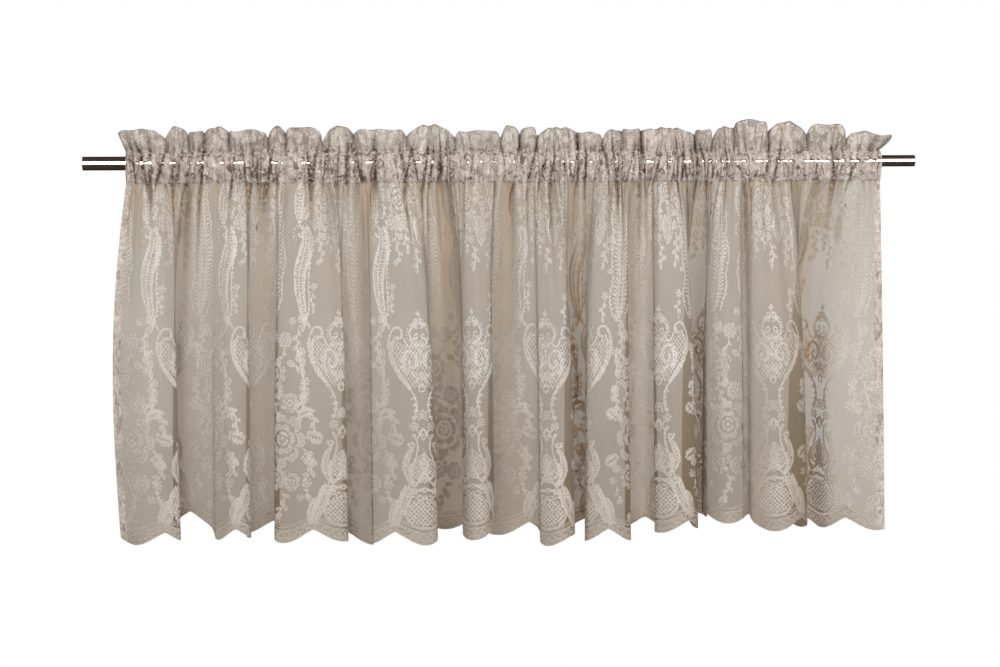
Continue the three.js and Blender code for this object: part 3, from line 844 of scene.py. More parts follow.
def bouquetMotif():
    # Roses, small flowers and leaves on a stem.
    parts = rose((0, 142), 31, 20)
    parts += each(frilledBloom, [
        ((-10, 90), 16, 10), ((13, 84), 12, 40), ((-13, 232), 18, 0, 1.3), ((11, 193), 13, 25),
        ((3, 279), 11, 5), ((-16, 284), 8, 5)])
    parts += each(ringFlower, [
        ((34, 82), 7.4), ((25, 62), 6.0, 20), ((32, 222), 7.2, 10), ((-34, 198), 6.4, 30),
        ((27, 262), 7.6), ((-31, 262), 6.8, 15), ((-9, 32), 7.0), ((38, 60), 5.4),
        ((-36, 84), 6.4, 12), ((14, 306), 6.2), ((-26, 56), 5.0)])
    parts += each(veinedLeaf, [
        ((32, 150), (56, 141), 19, 5), ((-27, 120), (-45, 106), 17, 5), ((-27, 168), (-43, 181), 16, 5),
        ((22, 174), (41, 183), 15, 5), ((27, 122), (45, 106), 15, 5), ((-24, 103), (-38, 98), 10),
        ((-2, 212), (-6, 196), 9), ((6, 250), (19, 243), 9), ((-26, 214), (-39, 205), 9)])
    parts += each(sprig, [
        ([(30, 130), (39, 116), (41, 100), (34, 90)], 8), ([(-2, 72), (3, 60), (-1, 48), (-7, 40)], 8.5),
        ([(-14, 212), (-14, 196), (-9, 184), (-8, 176)], 7.5),
        ([(16, 182), (25, 190), (31, 203), (31, 213)], 8), ([(22, 232), (26, 246), (24, 256)], 7.5),
        ([(-24, 246), (-32, 252), (-28, 258)], 7), ([(34, 186), (43, 174), (45, 160)], 8),
        ([(2, 266), (-2, 254), (-8, 248)], 6), ([(-30, 191), (-31, 184), (-27, 172)], 7),
        ([(30, 74), (35, 68), (36, 65)], 5), ([(-30, 77), (-31, 68), (-27, 60)], 5)])
    return parts


def vineMotif():
    # A thin leafy vine that hangs beside each vase, with a flower at its top.
    parts = ringFlower((0, 322), 6.6, petals=8)
    parts += sprig([(-2, 314), (-7, 298), (-6, 276), (-1, 262)], 7.5, 3.4)
    parts += veinedLeaf((0, 256), (2, 240), 6)
    parts += sprig([(1, 236), (4, 222), (2, 204), (-3, 192)], 7.5, 3.4)
    return parts + ringFlower((-4, 184), 4.6, petals=6)


def pendantMotif():
    # A hanging cluster above each vase: roses, leaves, flowers, a long bud, and trailing sprigs.
    parts = each(rose, [((-13, 472), 24, 10), ((22, 484), 18, 60)])
    parts += each(frilledBloom, [((-32, 442), 11, 0), ((1, 439), 13, 30), ((-43, 484), 12, 30)])
    parts += each(veinedLeaf, [
        ((20, 463), (38, 448), 18), ((-24, 450), (-14, 428), 15), ((38, 472), (56, 462), 17, 5),
        ((-42, 466), (-56, 446), 16, 5), ((-2, 458), (10, 453), 9)])
    parts += [petal((19, 450), (20, 412), 15, count=9, across=4, power=0.9)]
    parts += strokes([([(15, 450), (10.5, 436), (12, 420), (19, 408)], 1.4),
                      ([(24, 450), (30, 436), (28, 420), (19, 408)], 1.4)])
    parts += each(ringFlower, [
        ((1, 417), 6.6, 1), ((36, 434), 7.4, 36), ((42, 452), 5.6, 42), ((-18, 422), 6.0, -18),
        ((50, 486), 6.6, 50), ((-46, 432), 6.0, -46), ((47, 441), 5.2, 47)])
    parts += each(sprig, [
        ([(3, 409), (6, 400), (8, 390), (6, 380)], 8),
        ([(-24, 434), (-27, 420), (-24, 406), (-24, 394)], 7.5),
        ([(36, 425), (38, 414), (35, 400), (32, 384)], 8.5), ([(-46, 424), (-43, 412), (-45, 400)], 7.5),
        ([(48, 434), (50, 422), (47, 410)], 7.5), ([(-8, 426), (-10, 416), (-8, 404)], 6.5)])
    return parts


def plumeMotif():
    # On the left a tall column of chevrons in a scalloped outline; on the right a feathered leaf
    # over a long plume, broad above its middle, that ends in a curl.
    parts = []
    height = np.arange(308, 494, 5.8)
    share = (height - 302) / 196
    half = 14.5 * np.sin(np.pi * share ** 0.6) ** 0.45 * (1 + 0.14 * np.sin(height / 8.5))
    middle = -22 + 3 * np.sin(height / 27)
    for h, wide, u in zip(height, half, middle):
        for side, out in ((-1, 180), (1, 0)):
            parts.append(petal((u + side * 0.5, h), (u + side * wide, h + 10), 3.3, side * 2.2, 6, 0.5))
            lobe = arcLine((u + side * (wide + 0.6), h + 3.4), 3.2, out - 80, out + 80, 6)
            parts.append(band(lobe, 1.2))
    parts.append(petal((-22, 306), (-19, 292), 6, count=5))
    parts += feather([(24, 440), (21, 456), (22, 474), (25, 496)], 17, 17, pitch=4.9, slant=1.3,
                     fill=0.56, start=0.02)
    plume = [(33, 298), (29, 320), (24, 346), (24, 372), (30, 394), (35, 412), (33, 428), (25, 435)]
    parts += feather(plume, 14, 19, pitch=4.1, slant=1.7, fill=0.56, start=0.05, end=0.93, spine=1.7,
                     curl=0.34, peak=0.62)
    rim = drawn([(32, 300), (38, 318), (39, 340), (38, 362), (41, 386), (46, 404), (45, 422), (36, 434)])
    parts.append(band(rim, 1.2))
    for p in alongLine(rim, np.linspace(0.06, 0.94, 20), 60):
        parts.append(petal(p, p + (3.6, 1.8), 2.6, count=3))
    parts.append(band(spiralLine((24, 426), 1.2, 8.6, -200, 75, 17), 2.2))
    parts += beads((24, 426), 9.4, np.arange(30, 230, 28), 4.4, 3.0, lean=0.5, count=4)
    return parts + petalsAt([((33, 304), (28, 290), 5), ((34, 306), (41, 294), 4)])


def netFlowers():
    # Small flowers scattered on the plain net between the larger motifs.
    parts = each(ringFlower, [((-38, 352), 5.4, 352), ((36, 338), 6.2, 338),
                              ((-30, 386), 4.6, 386), ((44, 372), 4.4, 372)])
    return parts + each(sprig, [([(36, 331), (32, 320), (33, 308)], 6, 2.8),
                                ([(-38, 346), (-42, 334), (-40, 322)], 6, 2.8)])


# The dense top band: the steps between its motifs and between its flecks, how far each may stray
# from its place, and the ranges of their sizes.
topLace = dict(step=19.0, stray=2.5, odd=9, bloom=(7.5, 10.5), leaf=(9, 12), flower=(6.0, 8.5),
               fleckStep=12.0, fleckStray=4, fleckLength=(5, 9), fleckWidth=(2.2, 4.0))


def headingFlecks(low, high):
    # Blooms, leaves, plumes and daisies at every angle, with flecks between.
    parts = []
    stray, fleckStray = topLace["stray"], topLace["fleckStray"]
    for n, s in enumerate(np.arange(8, flatWidth - 4, topLace["step"])):
        for v in np.arange(low + 6 + topLace["odd"] * (n % 2), high, topLace["step"]):
            at = np.array([s, v]) + rng.uniform(-stray, stray, 2)
            angle = rng.uniform(0, 360)
            way = direction(math.radians(angle))
            kind = rng.random()
            if kind < 0.3:
                parts += frilledBloom(at, rng.uniform(*topLace["bloom"]), angle)
            elif kind < 0.55:
                parts += veinedLeaf(at - way * 9, at + way * 10, rng.uniform(*topLace["leaf"]))
            elif kind < 0.8:
                middle = at + rng.uniform(-2, 2, 2)
                parts += feather([at - way * 11, middle, at + way * 10], 8, 8, pitch=4.2, fill=0.6)
            else:
                parts += ringFlower(at, rng.uniform(*topLace["flower"]), angle)
    for s in np.arange(4, flatWidth - 4, topLace["fleckStep"]):
        for v in np.arange(low, high, topLace["fleckStep"]):
            at = np.array([s, v]) + rng.uniform(-fleckStray, fleckStray, 2)
            angle = rng.uniform(0, 2 * math.pi)
            end = at + rng.uniform(*topLace["fleckLength"]) * direction(angle)
            parts.append(petal(at, end, rng.uniform(*topLace["fleckWidth"]), count=3))
    return parts


# The border: its bands, as lower and upper heights over the edge, which follow the scallops less
# the higher they are, and its eyelets with a knot in each.
border = dict(step=2.4, bands=((0.3, 5.8), (15.2, 17.4), (20.6, 22.2), (24.0, 24.9)), flatter=0.012,
              eyelets=9, height=10.4, halfHeight=4.4, gap=0.15, hole=2.5, knot=1.15)


def borderParts():
    # Along the scalloped edge: a close band, a row of round eyelets over it, and three lines over
    # those. Round an eyelet the lace fills the space from a circle to a square, which leans with the
    # edge, and the knot in it is a small ring.
    parts = []
    s = np.arange(2.0, flatWidth - 2.0, border["step"])
    for low, high in border["bands"]:
        rise = scallopRise(s) * (1 - border["flatter"] * low)
        parts.append(np.stack([np.stack([s, rise + high], -1), np.stack([s, rise + low], -1)], 1))
    pitch = scallop["pitch"] / border["eyelets"]
    angle = np.radians(np.linspace(0, 360, 13))
    turn = np.stack([np.cos(angle), np.sin(angle)], -1)
    for at in np.arange(pitch / 2, flatWidth - 4, pitch):
        middle = np.array([at, scallopRise(np.array(at)) + border["height"]])
        slope = (scallopRise(np.array(at + 1.0)) - scallopRise(np.array(at - 1.0))) / 2
        square = turn / np.abs(turn).max(1, keepdims=True)
        square = square * (pitch / 2 - border["gap"], border["halfHeight"])
        square = square + np.stack([np.zeros(13), slope * square[:, 0]], -1)
        parts.append(np.stack([middle + square, middle + turn * border["hole"]], 1))
        parts.append(np.stack([middle + turn * border["knot"], middle + turn * 0.1], 1))
    return parts


# The thread that shows at the seams and the side hems: a stitch's pitch, length, width and slope,
# and how far the rows stand from the panel's seams and its lower edge.
stitch = dict(pitch=3.6, length=2.6, width=0.8, slope=0.2, overSeam=1.2, underTop=0.6, fromEdge=22)


def stitchParts():
    # Short stitches along both seams of the pocket and beside each side hem.
    low = cloth["hangLength"] + stitch["overSeam"]
    high = cloth["hangLength"] + cloth["pocketLength"] - stitch["underTop"]
    level, upright = (stitch["length"], stitch["slope"]), (stitch["slope"], stitch["length"])
    starts = [((s, v), level) for v in (low, high)
              for s in np.arange(3.0, flatWidth - 4, stitch["pitch"])]
    starts += [((s, v), upright) for s in (cloth["sideHem"], flatWidth - cloth["sideHem"])
               for v in np.arange(stitch["fromEdge"], cloth["hangLength"] - 2, stitch["pitch"])]
    return [petal(start, np.add(start, run), stitch["width"], count=3, power=0.4)
            for start, run in starts]


class Nodes:
    # Short ways to add and link the nodes of one material or world.
    def __init__(self, tree):
        self.tree = tree

    def add(self, kind, inputs=(), **settings):
        # A node with its settings. An input is linked if its value is a socket, and set if not.
        node = self.tree.nodes.new("ShaderNode" + kind)
        for key, value in settings.items():
            setattr(node, key, value)
        for key, value in dict(inputs).items():
            self.link(value, node.inputs[key])
        return node

    def link(self, value, socket):
        if isinstance(value, bpy.types.NodeSocket):
            self.tree.links.new(value, socket)
        else:
            socket.default_value = value

    def calc(self, operation, a, b=0.0, c=0.0):
        # One Math node.
        return self.add("Math", {0: a, 1: b, 2: c}, operation=operation).outputs[0]

    def times(self, a, b):
        return self.calc("MULTIPLY", a, b)

    def scaled(self, value, by, plus):
        # The value times one number, plus another.
        return self.calc("MULTIPLY_ADD", value, by, plus)

    def rest(self, value):
        # What is left of 1.
        return self.calc("SUBTRACT", 1.0, value)

    def larger(self, a, b):
        return self.calc("MAXIMUM", a, b)

    def away(self, value, middle):
        # How far the value is from the middle, either way.
        return self.calc("ABSOLUTE", self.calc("SUBTRACT", value, middle))

    def mix(self, share, a, b):
        return self.add("Mix", {0: share, 6: a, 7: b}, data_type="RGBA").outputs[2]

    def noise(self, place, scale, detail=2.0, distortion=0.0):
        inputs = {"Vector": place, "Scale": scale, "Detail": detail, "Distortion": distortion}
        return self.add("TexNoise", inputs).outputs["Fac"]

    def ramp(self, value, low, high, most=1.0, least=0.0, **settings):
        # From the least at low to the most at high, and level past them.
        inputs = {"Value": value, "From Min": low, "From Max": high, "To Min": least, "To Max": most}
        return self.add("MapRange", inputs, **settings).outputs[0]

    def stretched(self, place, scale):
        return self.add("Mapping", {"Vector": place, "Scale": scale}).outputs[0]

    def attribute(self, name, output="Fac"):
        return self.add("Attribute", attribute_name=name).outputs[output]


def newMaterial(name):
    # A material with one principled shader. The short ways to add to it come back too.
    material = bpy.data.materials.new(name)
    material.use_nodes = True
    material.node_tree.nodes.clear()
    n = Nodes(material.node_tree)
    surface = n.add("BsdfPrincipled")
    n.add("OutputMaterial", {0: surface.outputs[0]})
    return material, n, surface


socketNames = dict(roughness="Roughness", specular="Specular IOR Level", sheen="Sheen Weight",
                   sheenRoughness="Sheen Roughness", metallic="Metallic", tint="Specular Tint")


def setSurface(n, surface, colour, bump, **numbers):
    # The colour and the bump are linked, and plain numbers are set on the shader's own sockets.
    n.link(colour, surface.inputs["Base Color"])
    n.link(bump.outputs[0], surface.inputs["Normal"])
    for name, value in numbers.items():
        surface.inputs[socketNames[name]].default_value = value


def letLightThrough(n, surface, colour, close, share, tint=(1, 1, 1, 1)):
    # Thin cloth: a share of the light comes through from behind. Where close is under 1 the
    # surface is partly clear, with a tint.
    through = n.add("BsdfTranslucent", {"Color": colour}).outputs[0]
    thin = n.add("MixShader", {0: share, 1: surface.outputs[0], 2: through}).outputs[0]
    clear = n.add("BsdfTransparent", {"Color": tint}).outputs[0]
    whole = n.add("MixShader", {0: close, 1: clear, 2: thin}).outputs[0]
    n.link(whole, n.tree.nodes["Material Output"].inputs[0])


def colours(**rows):
    # Each colour with a full alpha.
    return {name: (*row, 1) for name, row in rows.items()}


# Tones shared by all the yarn: the scales of its noises, and the levels where a tone changes, in
# metres from the seam or from the upper stitches.
yarn = dict(
    cloudScale=16.0, cloud=0.24, fineScale=420.0, fine=0.26, darkest=0.75,
    patchScale=9.0, unevenScale=60.0, uneven=0.006,
    seam=(-0.0012, 0.0012), underRod=(0.004, 0.02), tight=(-0.023, -0.01), heading=(-0.003, 0.014),
    hem=(0.3, 0.02),  # heights over the edge between which the lit tone goes to the low one
    swirlScale=125.0, curls=24.0, uprightScale=95.0, upright=0.36, creases=17.0,
    squeezedLost=0.7, squeezedHem=0.6,
)
# The pocket's open strip over the rod: its place and size in flat millimetres, and its stretches.
rodStrip = dict(at=28.9, half=1.5, edge=1.3, scale=34.0, fewest=780, toEnds=0.13,
                start=0.575, full=0.605, net=0.85, motif=0.6)
# In each look the deep and crease colours are painted shade, the darker tones for valleys, puckers and
# creases, and underRod is painted light on the pocket's lowest band.
netLook = dict(
    colours(lit=(0.292, 0.25, 0.194), brown=(0.285, 0.226, 0.162), low=(0.21, 0.158, 0.1),
            deep=(0.36, 0.28, 0.202), warm=(0.53, 0.485, 0.415), pink=(0.5, 0.425, 0.365),
            pocket=(0.7, 0.59, 0.51), underRod=(0.75, 0.63, 0.55), tight=(0.68, 0.58, 0.51),
            crease=(0.115, 0.068, 0.041), thread=(0.78, 0.71, 0.645), hem=(0.47, 0.4, 0.345)),
    curl=0.65, crumple=0.75, through=0.36, cell=2.0, slant=0.8, threadWidth=0.3, threadEdge=0.25,
    open=0.28, sheerMore=0.26, closing=-1.8, roughness=0.92)
motifLook = dict(
    colours(lit=(0.775, 0.74, 0.70), brown=(0.75, 0.695, 0.63), low=(0.64, 0.57, 0.49),
            deep=(0.285, 0.205, 0.13), warm=(0.66, 0.61, 0.55), pink=(0.65, 0.575, 0.52),
            pocket=(0.74, 0.66, 0.6), underRod=(0.8, 0.72, 0.65), tight=(0.56, 0.49, 0.44),
            crease=(0.145, 0.09, 0.057), thread=(0.88, 0.83, 0.77), hem=(0.55, 0.48, 0.41),
            faint=(0.42, 0.375, 0.315), glow=(0.6, 0.47, 0.345), clear=(0.97, 0.88, 0.77),
            inner=(0.4, 0.35, 0.285)),
    curl=0.5, crumple=0.7, fade=0.6, fadeScale=11.0, fadeAlone=0.15, mottle=0.55, mottleScale=330.0,
    outline=0.75, outlineEdge=0.5, fill=0.42, glowOpen=0.58, fillOpen=0.3, behind=0.5, through=0.12,
    rib=0.9, stitchScale=620.0, stitchOpen=0.62, stitchEdge=0.08, roughness=0.85)
edgeLook = {**motifLook, "fade": 0.2, "fadeAlone": 0.2,
            **colours(lit=(0.56, 0.505, 0.43), brown=(0.55, 0.485, 0.405), low=(0.52, 0.46, 0.385))}
rodLook = dict(colours(color=(0.046, 0.039, 0.031), tint=(0.3, 0.27, 0.24)), roughness=0.07)


def yarnColour(n, look):
    # The lit tone goes to a darker one by the painted-shade attribute, which paints shade into the
    # valleys, troughs, puckers and gathers, and both drift a little in patches. Over the seam the tone
    # is that of the pocket, and over the upper stitches the heading's. The side hems are doubled too.
    paintedShade = n.attribute("paintedShade")
    place = n.add("TexCoord").outputs["Object"]
    cloud = n.noise(place, yarn["cloudScale"], 3.0)
    fine = n.noise(place, yarn["fineScale"])
    drift = n.scaled(cloud, yarn["cloud"], n.scaled(fine, yarn["fine"], yarn["darkest"]))
    flat = n.add("UVMap", uv_map="flat").outputs[0]
    across, up, _ = n.add("SeparateXYZ", {0: flat}).outputs
    seam = cloth["hangLength"] * metre
    upper = seam + cloth["pocketLength"] * metre
    half = flatWidth / 2 * metre
    hem = n.calc("GREATER_THAN", n.away(across, half), half - cloth["sideHem"] * metre)
    uneven = n.noise(place, yarn["unevenScale"], 1.0)
    level = n.scaled(n.calc("SUBTRACT", uneven, 0.5), yarn["uneven"], up)
    above, low, tight, raised = (
        n.ramp(level, row + yarn[name][0], row + yarn[name][1])
        for name, row in (("seam", seam), ("underRod", seam), ("tight", upper), ("heading", upper)))
    doubled = n.larger(above, hem)
    patch = n.ramp(n.noise(place, yarn["patchScale"]), 0.35, 0.65)
    toHem = n.ramp(up, *yarn["hem"])
    single = n.mix(toHem, n.mix(patch, look["lit"], look["brown"]), look["low"])
    top = n.mix(patch, look["warm"], look["pink"])
    # Painted light: the pocket's lowest band, just over the seam, has a lighter tone against the shade
    # that falls on its lower wall.
    under = n.mix(tight, n.mix(low, look["underRod"], look["pocket"]), look["tight"])
    over = n.mix(above, look["hem"], n.mix(raised, under, top))
    lit = n.mix(doubled, single, over)
    # Painted shade: where the attribute is high the tone goes to the deep colour, or to the darker crease
    # colour where the cloth is doubled.
    base = n.mix(paintedShade, lit, n.mix(above, look["deep"], look["crease"]))
    # The squeezed lace of the pocket: the sine of a noise draws curled lines, light threads on its
    # crests and painted shade in its valleys, and that of a noise drawn out in height draws painted
    # shade in creases. All are weaker up the heading and in the side hems.
    squeezed = n.times(above, n.scaled(raised, -yarn["squeezedLost"], 1.0))
    squeezed = n.larger(squeezed, n.times(hem, yarn["squeezedHem"]))
    swirl = n.noise(place, yarn["swirlScale"], 1.0, 0.9)
    upright = n.noise(n.stretched(place, (1, 1, yarn["upright"])), yarn["uprightScale"], 1.0, 0.5)
    curls = n.calc("SINE", n.times(swirl, yarn["curls"]))
    creases = n.calc("SINE", n.times(upright, yarn["creases"]))
    for source, start, full, share, tone in ((curls, 0.15, 0.75, look["curl"], look["thread"]),
                                             (curls, -0.6, -0.95, look["curl"] / 2, look["crease"]),
                                             (creases, -0.7, -0.95, look["crumple"], look["crease"])):
        mark = n.ramp(source, start, full, share)
        base = n.mix(n.times(mark, squeezed), base, tone)
    bright = n.add("HueSaturation", {"Value": drift, "Color": base}).outputs[0]
    return bright, paintedShade, doubled, flat, across, up


def rodWindow(n, across, up):
    # 1 in a narrow level strip over the middle of the rod, in stretches from a noise along the
    # panel: there the squeezed lace is open and the rod shows. There are more of them to the ends.
    half, middle = rodStrip["half"], (cloth["hangLength"] + rodStrip["at"]) * metre
    over = n.away(up, middle)
    strip = n.ramp(over, half * metre, (half + rodStrip["edge"]) * metre, 0.0, 1.0)
    place = n.add("CombineXYZ", {0: across}).outputs[0]
    stretch = n.noise(place, rodStrip["scale"])
    aside = n.away(across, rodStrip["fewest"] * metre)
    stretch = n.scaled(aside, rodStrip["toEnds"], stretch)
    return n.times(strip, n.ramp(stretch, rodStrip["start"], rodStrip["full"]))


def netMaterial(name, look):
    # Two sets of slanting threads, read from the flat position, close the net. The holes between
    # them are partly open, more where the cloth is sheer, and closed in the valleys and where the
    # cloth is doubled. Over the rod stretches of the pocket are open.
    material, n, surface = newMaterial(name)
    colour, paintedShade, doubled, _, across, up = yarnColour(n, look)
    slants = []
    for way in (1, -1):
        sway = n.scaled(up, look["slant"] * way, across)
        slants.append(n.calc("ABSOLUTE", n.calc("SINE", n.times(sway, math.pi / (look["cell"] * metre)))))
    edge = look["threadWidth"] + look["threadEdge"]
    hole = n.ramp(n.calc("MINIMUM", *slants), look["threadWidth"], edge, interpolation_type="SMOOTHSTEP")
    shallow = n.larger(n.scaled(paintedShade, look["closing"], 1.0), 0.0)
    single = n.times(shallow, n.rest(doubled))
    single = n.times(single, n.scaled(n.attribute("sheer"), look["sheerMore"], look["open"]))
    window = n.times(rodWindow(n, across, up), rodStrip["net"])
    close = n.rest(n.larger(n.times(hole, single), window))
    bump = n.add("Bump", {"Height": hole, "Distance": 0.0003, "Strength": 0.6}, invert=True)
    setSurface(n, surface, colour, bump, roughness=look["roughness"], specular=0.2)
    letLightThrough(n, surface, colour, close, look["through"])
    return material


def motifMaterial(name, look):
    # Closely woven yarn: fine ribs, a mottled tone and small open stitches. It fades in patches and
    # where the panel hangs as one layer. Away from a motif's outline the weave is thinner and
    # darker, by the inset attribute. Where the glow attribute is high the light behind makes it
    # brown and clear.
    material, n, surface = newMaterial(name)
    colour, paintedShade, doubled, flat, across, up = yarnColour(n, look)
    place = n.stretched(n.add("TexCoord").outputs["Object"], (1, 1, 0.35))
    patch = n.ramp(n.noise(place, look["fadeScale"]), 0.42, 0.68, look["fade"])
    glow = n.attribute("glow")
    single = n.rest(doubled)
    alone = n.calc("MINIMUM", n.times(n.attribute("sheer"), 1.7), look["fadeAlone"])
    faded = n.times(n.larger(patch, alone), single)
    mottle = n.ramp(n.noise(flat, look["mottleScale"]), 0.4, 0.68, look["mottle"])
    faded = n.larger(faded, n.times(mottle, single))
    colour = n.mix(n.times(faded, n.rest(paintedShade)), colour, look["faint"])
    offset, half, toEnd = n.add("SeparateXYZ", {0: n.attribute("inset", "Vector")}).outputs
    within = n.calc("MINIMUM", n.calc("SUBTRACT", half, n.calc("ABSOLUTE", offset)), toEnd)
    fill = n.ramp(within, look["outline"], look["outline"] + look["outlineEdge"])
    fill = n.times(fill, n.rest(n.times(doubled, 0.6)))
    colour = n.mix(n.times(fill, look["fill"]), colour, look["inner"])
    colour = n.mix(glow, colour, look["glow"])
    ribs = n.calc("SINE", n.times(up, 2 * math.pi / (look["rib"] * metre)))
    bump = n.add("Bump", {"Height": ribs, "Distance": 0.00008, "Strength": 0.6})
    setSurface(n, surface, colour, bump, roughness=look["roughness"], specular=0.1, sheen=0.06,
           sheenRoughness=0.5)
    weave = n.scaled(fill, 0.1, n.noise(flat, look["stitchScale"], 1.0))
    gap = n.ramp(weave, look["stitchOpen"], look["stitchOpen"] + look["stitchEdge"])
    glowing = n.times(glow, n.scaled(fill, look["fillOpen"], look["glowOpen"]))
    close = n.times(n.scaled(gap, -0.8, 1.0), n.rest(glowing))
    close = n.times(close, n.scaled(rodWindow(n, across, up), -rodStrip["motif"], 1.0))
    behind = n.larger(n.times(paintedShade, single), glow)
    share = n.scaled(behind, look["behind"], look["through"])
    letLightThrough(n, surface, colour, close, share, n.mix(glow, (1, 1, 1, 1), look["clear"]))
    return material


def rodMaterial(name, look):
    # Dark bronze: faint mottling in the colour and a slight drawn grain along the tube.
    material, n, surface = newMaterial(name)
    place = n.add("TexCoord").outputs["Object"]
    grain = n.noise(n.stretched(place, (6.0, 260.0, 260.0)), 3.0, 4.0)
    value = n.scaled(n.noise(place, 30.0), 0.5, 0.75)
    colour = n.add("HueSaturation", {"Value": value, "Color": look["color"]}).outputs[0]
    bump = n.add("Bump", {"Height": grain, "Distance": 0.00003, "Strength": 0.15})
    setSurface(n, surface, colour, bump, metallic=1.0, tint=look["tint"])
    n.link(n.scaled(grain, 0.06, look["roughness"] - 0.03), surface.inputs["Roughness"])
    return material


netYarn = netMaterial("laceNetYarn", netLook)
motifYarn = motifMaterial("laceMotifYarn", motifLook)
edgeYarn = motifMaterial("laceEdgeYarn", edgeLook)
rodPaint = rodMaterial("rodBronzePaint", rodLook)
for node in ("rod_outer_tube", "rod_inner_tube"):
    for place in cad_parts[node].material_slots:
        place.material = rodPaint
print("materials made")


# The net's grid. The hanging rows close up to the seam by the crowding.
netGrid = dict(columnsPerScallop=46, hangingRows=50, crowding=1.5, pocketRows=13, headingRows=9,
               backRows=7)


def netSheet():
    # A grid over the whole panel. Its lowest row follows the scallops, and the rows above it close
    # up evenly to straight rows.
    step = scallop["pitch"] / netGrid["columnsPerScallop"]
    s = np.concatenate([[0], np.arange(scallop["first"] % step, flatWidth, step), [flatWidth]])
    s = s[np.concatenate([[True], np.diff(s) > step / 4])]
    s[-1] = flatWidth
    rows = netGrid["hangingRows"]
    share = np.arange(rows) / rows
    v = [cloth["hangLength"] * (1 - (1 - share) ** netGrid["crowding"])]
    start = cloth["hangLength"]
    for length, count in (("pocketLength", "pocketRows"), ("headingLength", "headingRows"),
                          ("headingLength", "backRows"), ("pocketLength", "backRows")):
        v.append(start + cloth[length] * np.arange(netGrid[count]) / netGrid[count])
        start += cloth[length]
    v = np.concatenate(v + [[start - 0.01]])
    across, grid = np.meshgrid(s, v)
    rise = scallopRise(s)
    grid = np.where(grid < cloth["hangLength"], rise + grid * (1 - rise / cloth["hangLength"]), grid)
    return across, grid


netS, netV = netSheet()
net = makeObject("laceNet", clothPoint(netS, netV), gridFaces(*netS.shape),
                 np.stack([netS, netV], -1) * metre, netYarn, netS, netV)
print("net", len(net.data.polygons), "quads")


def patchSurface(patches):
    # All patches joined: their flat points in one list, the quads between them, and each point's
    # offset across its patch, the half width there and the way to the patch's nearer end, in mm.
    points, faces, insets, start = [], [], [], 0
    for patch in patches:
        rows, columns = patch.shape[:2]
        half = np.linalg.norm(patch[:, -1] - patch[:, 0], axis=1) / 2
        run = running(patch.mean(1))
        offset = half[:, None] * np.linspace(-1, 1, columns)
        toEnd = np.minimum(run, run[-1] - run)
        inset = np.stack(np.broadcast_arrays(offset, half[:, None], toEnd[:, None]), -1)
        insets.append(inset.reshape(-1, 3))
        points.append(patch.reshape(-1, 2))
        faces.append(gridFaces(rows, columns) + start)
        start += rows * columns
    return np.vstack(points), np.vstack(faces), np.vstack(insets)


# How the raised lace lies: its lift off the net, the way its yarn wanders, and how near it comes to
# the panel's side edges, over the scallops and to the turned top edge.
raised = dict(lift=0.28, stitchLift=0.4, wander=0.4, sideEdge=1.5, pastScallop=0.5, topEdge=2)


def wandering(flat):
    # The weave's unevenness: each flat point moves by crossed sines each way.
    s, v = flat.T
    moves = np.stack([unevenness("weaveAcross", s, v), unevenness("weaveUp", s, v)], -1)
    return flat + raised["wander"] * moves


def laceObject(name, patches, material, lift=raised["lift"]):
    # Lays the patches on both faces of the net, a little proud of it, and drops what runs off the
    # panel. Each face is turned to look the way its side of the cloth does.
    flat, faces, inset = patchSurface(patches)
    s, v = flat.T
    keep = (s > raised["sideEdge"]) & (s < flatWidth - raised["sideEdge"])
    keep &= (v > scallopRise(s) - raised["pastScallop"]) & (v < flatHeight - raised["topEdge"])
    faces = faces[keep[faces].all(1)]
    used = np.unique(faces)
    renumber = np.full(len(flat), -1)
    renumber[used] = np.arange(len(used))
    flat, faces, inset = wandering(flat[used]), renumber[faces], inset[used]
    s, v = flat.T
    normal = clothNormal(s, v)
    middle = clothPoint(s, v)
    corner = middle[faces[:, :3]]
    facing = np.cross(corner[:, 1] - corner[:, 0], corner[:, 2] - corner[:, 0])
    away = (facing * normal[faces[:, 0]]).sum(1) < 0
    faces[away] = faces[away][:, ::-1]
    points = np.vstack([middle + normal * lift * metre, middle - normal * lift * metre])
    faces = np.vstack([faces, faces[:, ::-1] + len(middle)])
    print(name, len(faces) * 2, "triangles")
    return makeObject(name, points, faces, np.tile(flat, (2, 1)) * metre, material, np.tile(s, 2),
                      np.tile(v, 2), np.tile(inset, (2, 1)))


def repeated(parts, axes):
    # The parts once on each axis.
    return [part for axis in axes for part in moved(parts, (axis, 0))]


# Vases stand over every other scallop; bouquets and plumes stand between them. The pendants, vines
# and small flowers are on the vases' axes.
firstAxis = scallop["first"] + scallop["pitch"] / 2
vaseAxes = np.arange(firstAxis, flatWidth + 60, 2 * scallop["pitch"])
bouquetAxes = np.arange(firstAxis - scallop["pitch"], flatWidth + 60, 2 * scallop["pitch"])
vines = moved(vineMotif(), (-57, -14)) + moved(vineMotif(), (57, -14), flip=True)
plumes = (repeated(plumeMotif(), bouquetAxes) + repeated(pendantMotif(), vaseAxes)
          + repeated(vines + netFlowers(), vaseAxes))
topBand = headingFlecks(cloth["hangLength"] + 3, flatHeight - 4)
pieces = [
    laceObject("laceVases", repeated(vaseMotif(), vaseAxes), motifYarn),
    laceObject("laceBouquets", repeated(bouquetMotif(), bouquetAxes), motifYarn),
    laceObject("lacePlumes", plumes, motifYarn),
    laceObject("laceBorder", borderParts(), edgeYarn),
    laceObject("laceStitches", stitchParts(), edgeYarn, raised["stitchLift"]),
    laceObject("laceTopBand", topBand, motifYarn),
]

for piece in [net] + pieces:
    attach(piece, "root")
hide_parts("lace_cloth")


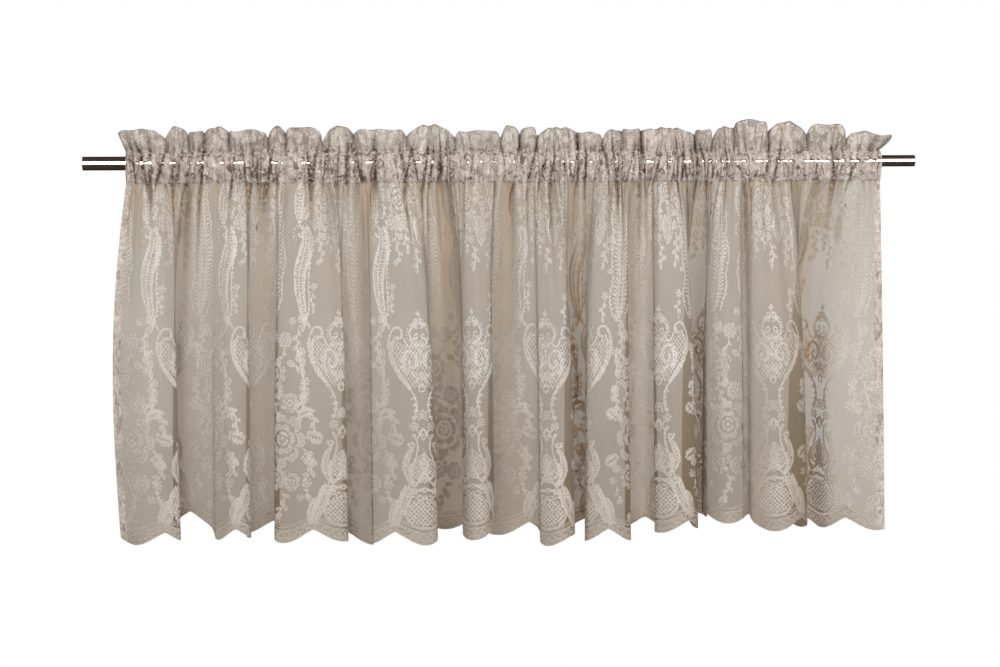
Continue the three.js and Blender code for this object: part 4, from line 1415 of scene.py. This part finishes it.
def areaLight(name, place, target, size, power):
    # A rectangular light at its place, turned to its target.
    light = bpy.data.lights.new(name, "AREA")
    light.shape = "RECTANGLE"
    light.size, light.size_y = size
    light.energy = power
    lamp = bpy.data.objects.new(name, light)
    bpy.context.scene.collection.objects.link(lamp)
    lamp.location = place
    lamp.rotation_euler = (Vector(target) - Vector(place)).to_track_quat("-Z", "Y").to_euler()
    return lamp


studio = dict(ambient=0.22, floorDepth=0.95, keyPower=24, fillPower=30, backPower=45, gleamPower=2800)
centre = ((cadBox[0][0] + cadBox[1][0]) / 2, 0, (cadBox[0][2] + cadBox[1][2]) / 2)
areaLight("keyLight", (-0.9, -1.5, 0.8), centre, (1.0, 0.6), studio["keyPower"])
areaLight("fillLight", (1.0, -1.5, 0.75), centre, (1.0, 0.6), studio["fillPower"])
areaLight("backLight", (0, 2.2, 1.0), centre, (2.4, 0.8), studio["backPower"])
# The rods have a light of their own, which makes the long white line along them.
gleam = areaLight("rodGleam", (0, -2.9, 0.2), (0, 0, 0), (3.4, 2.2), studio["gleamPower"])
rods = bpy.data.collections.new("rodsOnly")
for node in ("rod_outer_tube", "rod_inner_tube"):
    rods.objects.link(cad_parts[node])
gleam.light_linking.receiver_collection = rods

floorMesh = bpy.data.meshes.new("studioFloor")
corners = [(x, y, -studio["floorDepth"]) for x, y in ((-1.6, -1.6), (1.6, -1.6), (1.6, 1.6), (-1.6, 1.6))]
floorMesh.from_pydata(corners, [], [(0, 1, 2, 3)])
floor = bpy.data.objects.new("studioFloor", floorMesh)
bpy.context.scene.collection.objects.link(floor)
floorPaint, _, floorSurface = newMaterial("studioFloorPaint")
floorSurface.inputs["Base Color"].default_value = (0.75, 0.75, 0.75, 1)
floorSurface.inputs["Roughness"].default_value = 0.8
floorMesh.materials.append(floorPaint)

world = bpy.data.worlds.new("studioWorld")
bpy.context.scene.world = world
world.use_nodes = True
world.node_tree.nodes.clear()
# White where the camera, a gloss or clear cloth sees it, and dim as a light on everything else.
n = Nodes(world.node_tree)
path = n.add("LightPath").outputs
seen = n.larger(path["Is Camera Ray"], n.larger(path["Is Glossy Ray"], path["Is Transmission Ray"]))
strength = n.scaled(seen, 1 - studio["ambient"], studio["ambient"])
backdrop = n.add("Background", {"Color": (1, 1, 1, 1), "Strength": strength})
n.add("OutputWorld", {0: backdrop.outputs[0]})

view = dict(azimuth=-4.0, distance=3.2, lens=83.5, roll=-0.5, target=(-0.007, 0.0, -0.2364))
azimuth = math.radians(view["azimuth"])
target = Vector(view["target"])
camera = bpy.data.objects.new("camera", bpy.data.cameras.new("camera"))
bpy.context.scene.collection.objects.link(camera)
camera.data.lens = view["lens"]
camera.data.sensor_width = 36
camera.location = target + view["distance"] * Vector((math.sin(azimuth), -math.cos(azimuth), 0))
turn = Matrix.Rotation(azimuth, 3, "Z") @ Matrix.Rotation(math.pi / 2, 3, "X")
camera.rotation_euler = (turn @ Matrix.Rotation(math.radians(view["roll"]), 3, "Z")).to_euler()
bpy.context.scene.camera = camera
bpy.context.scene.view_settings.view_transform = "Standard"
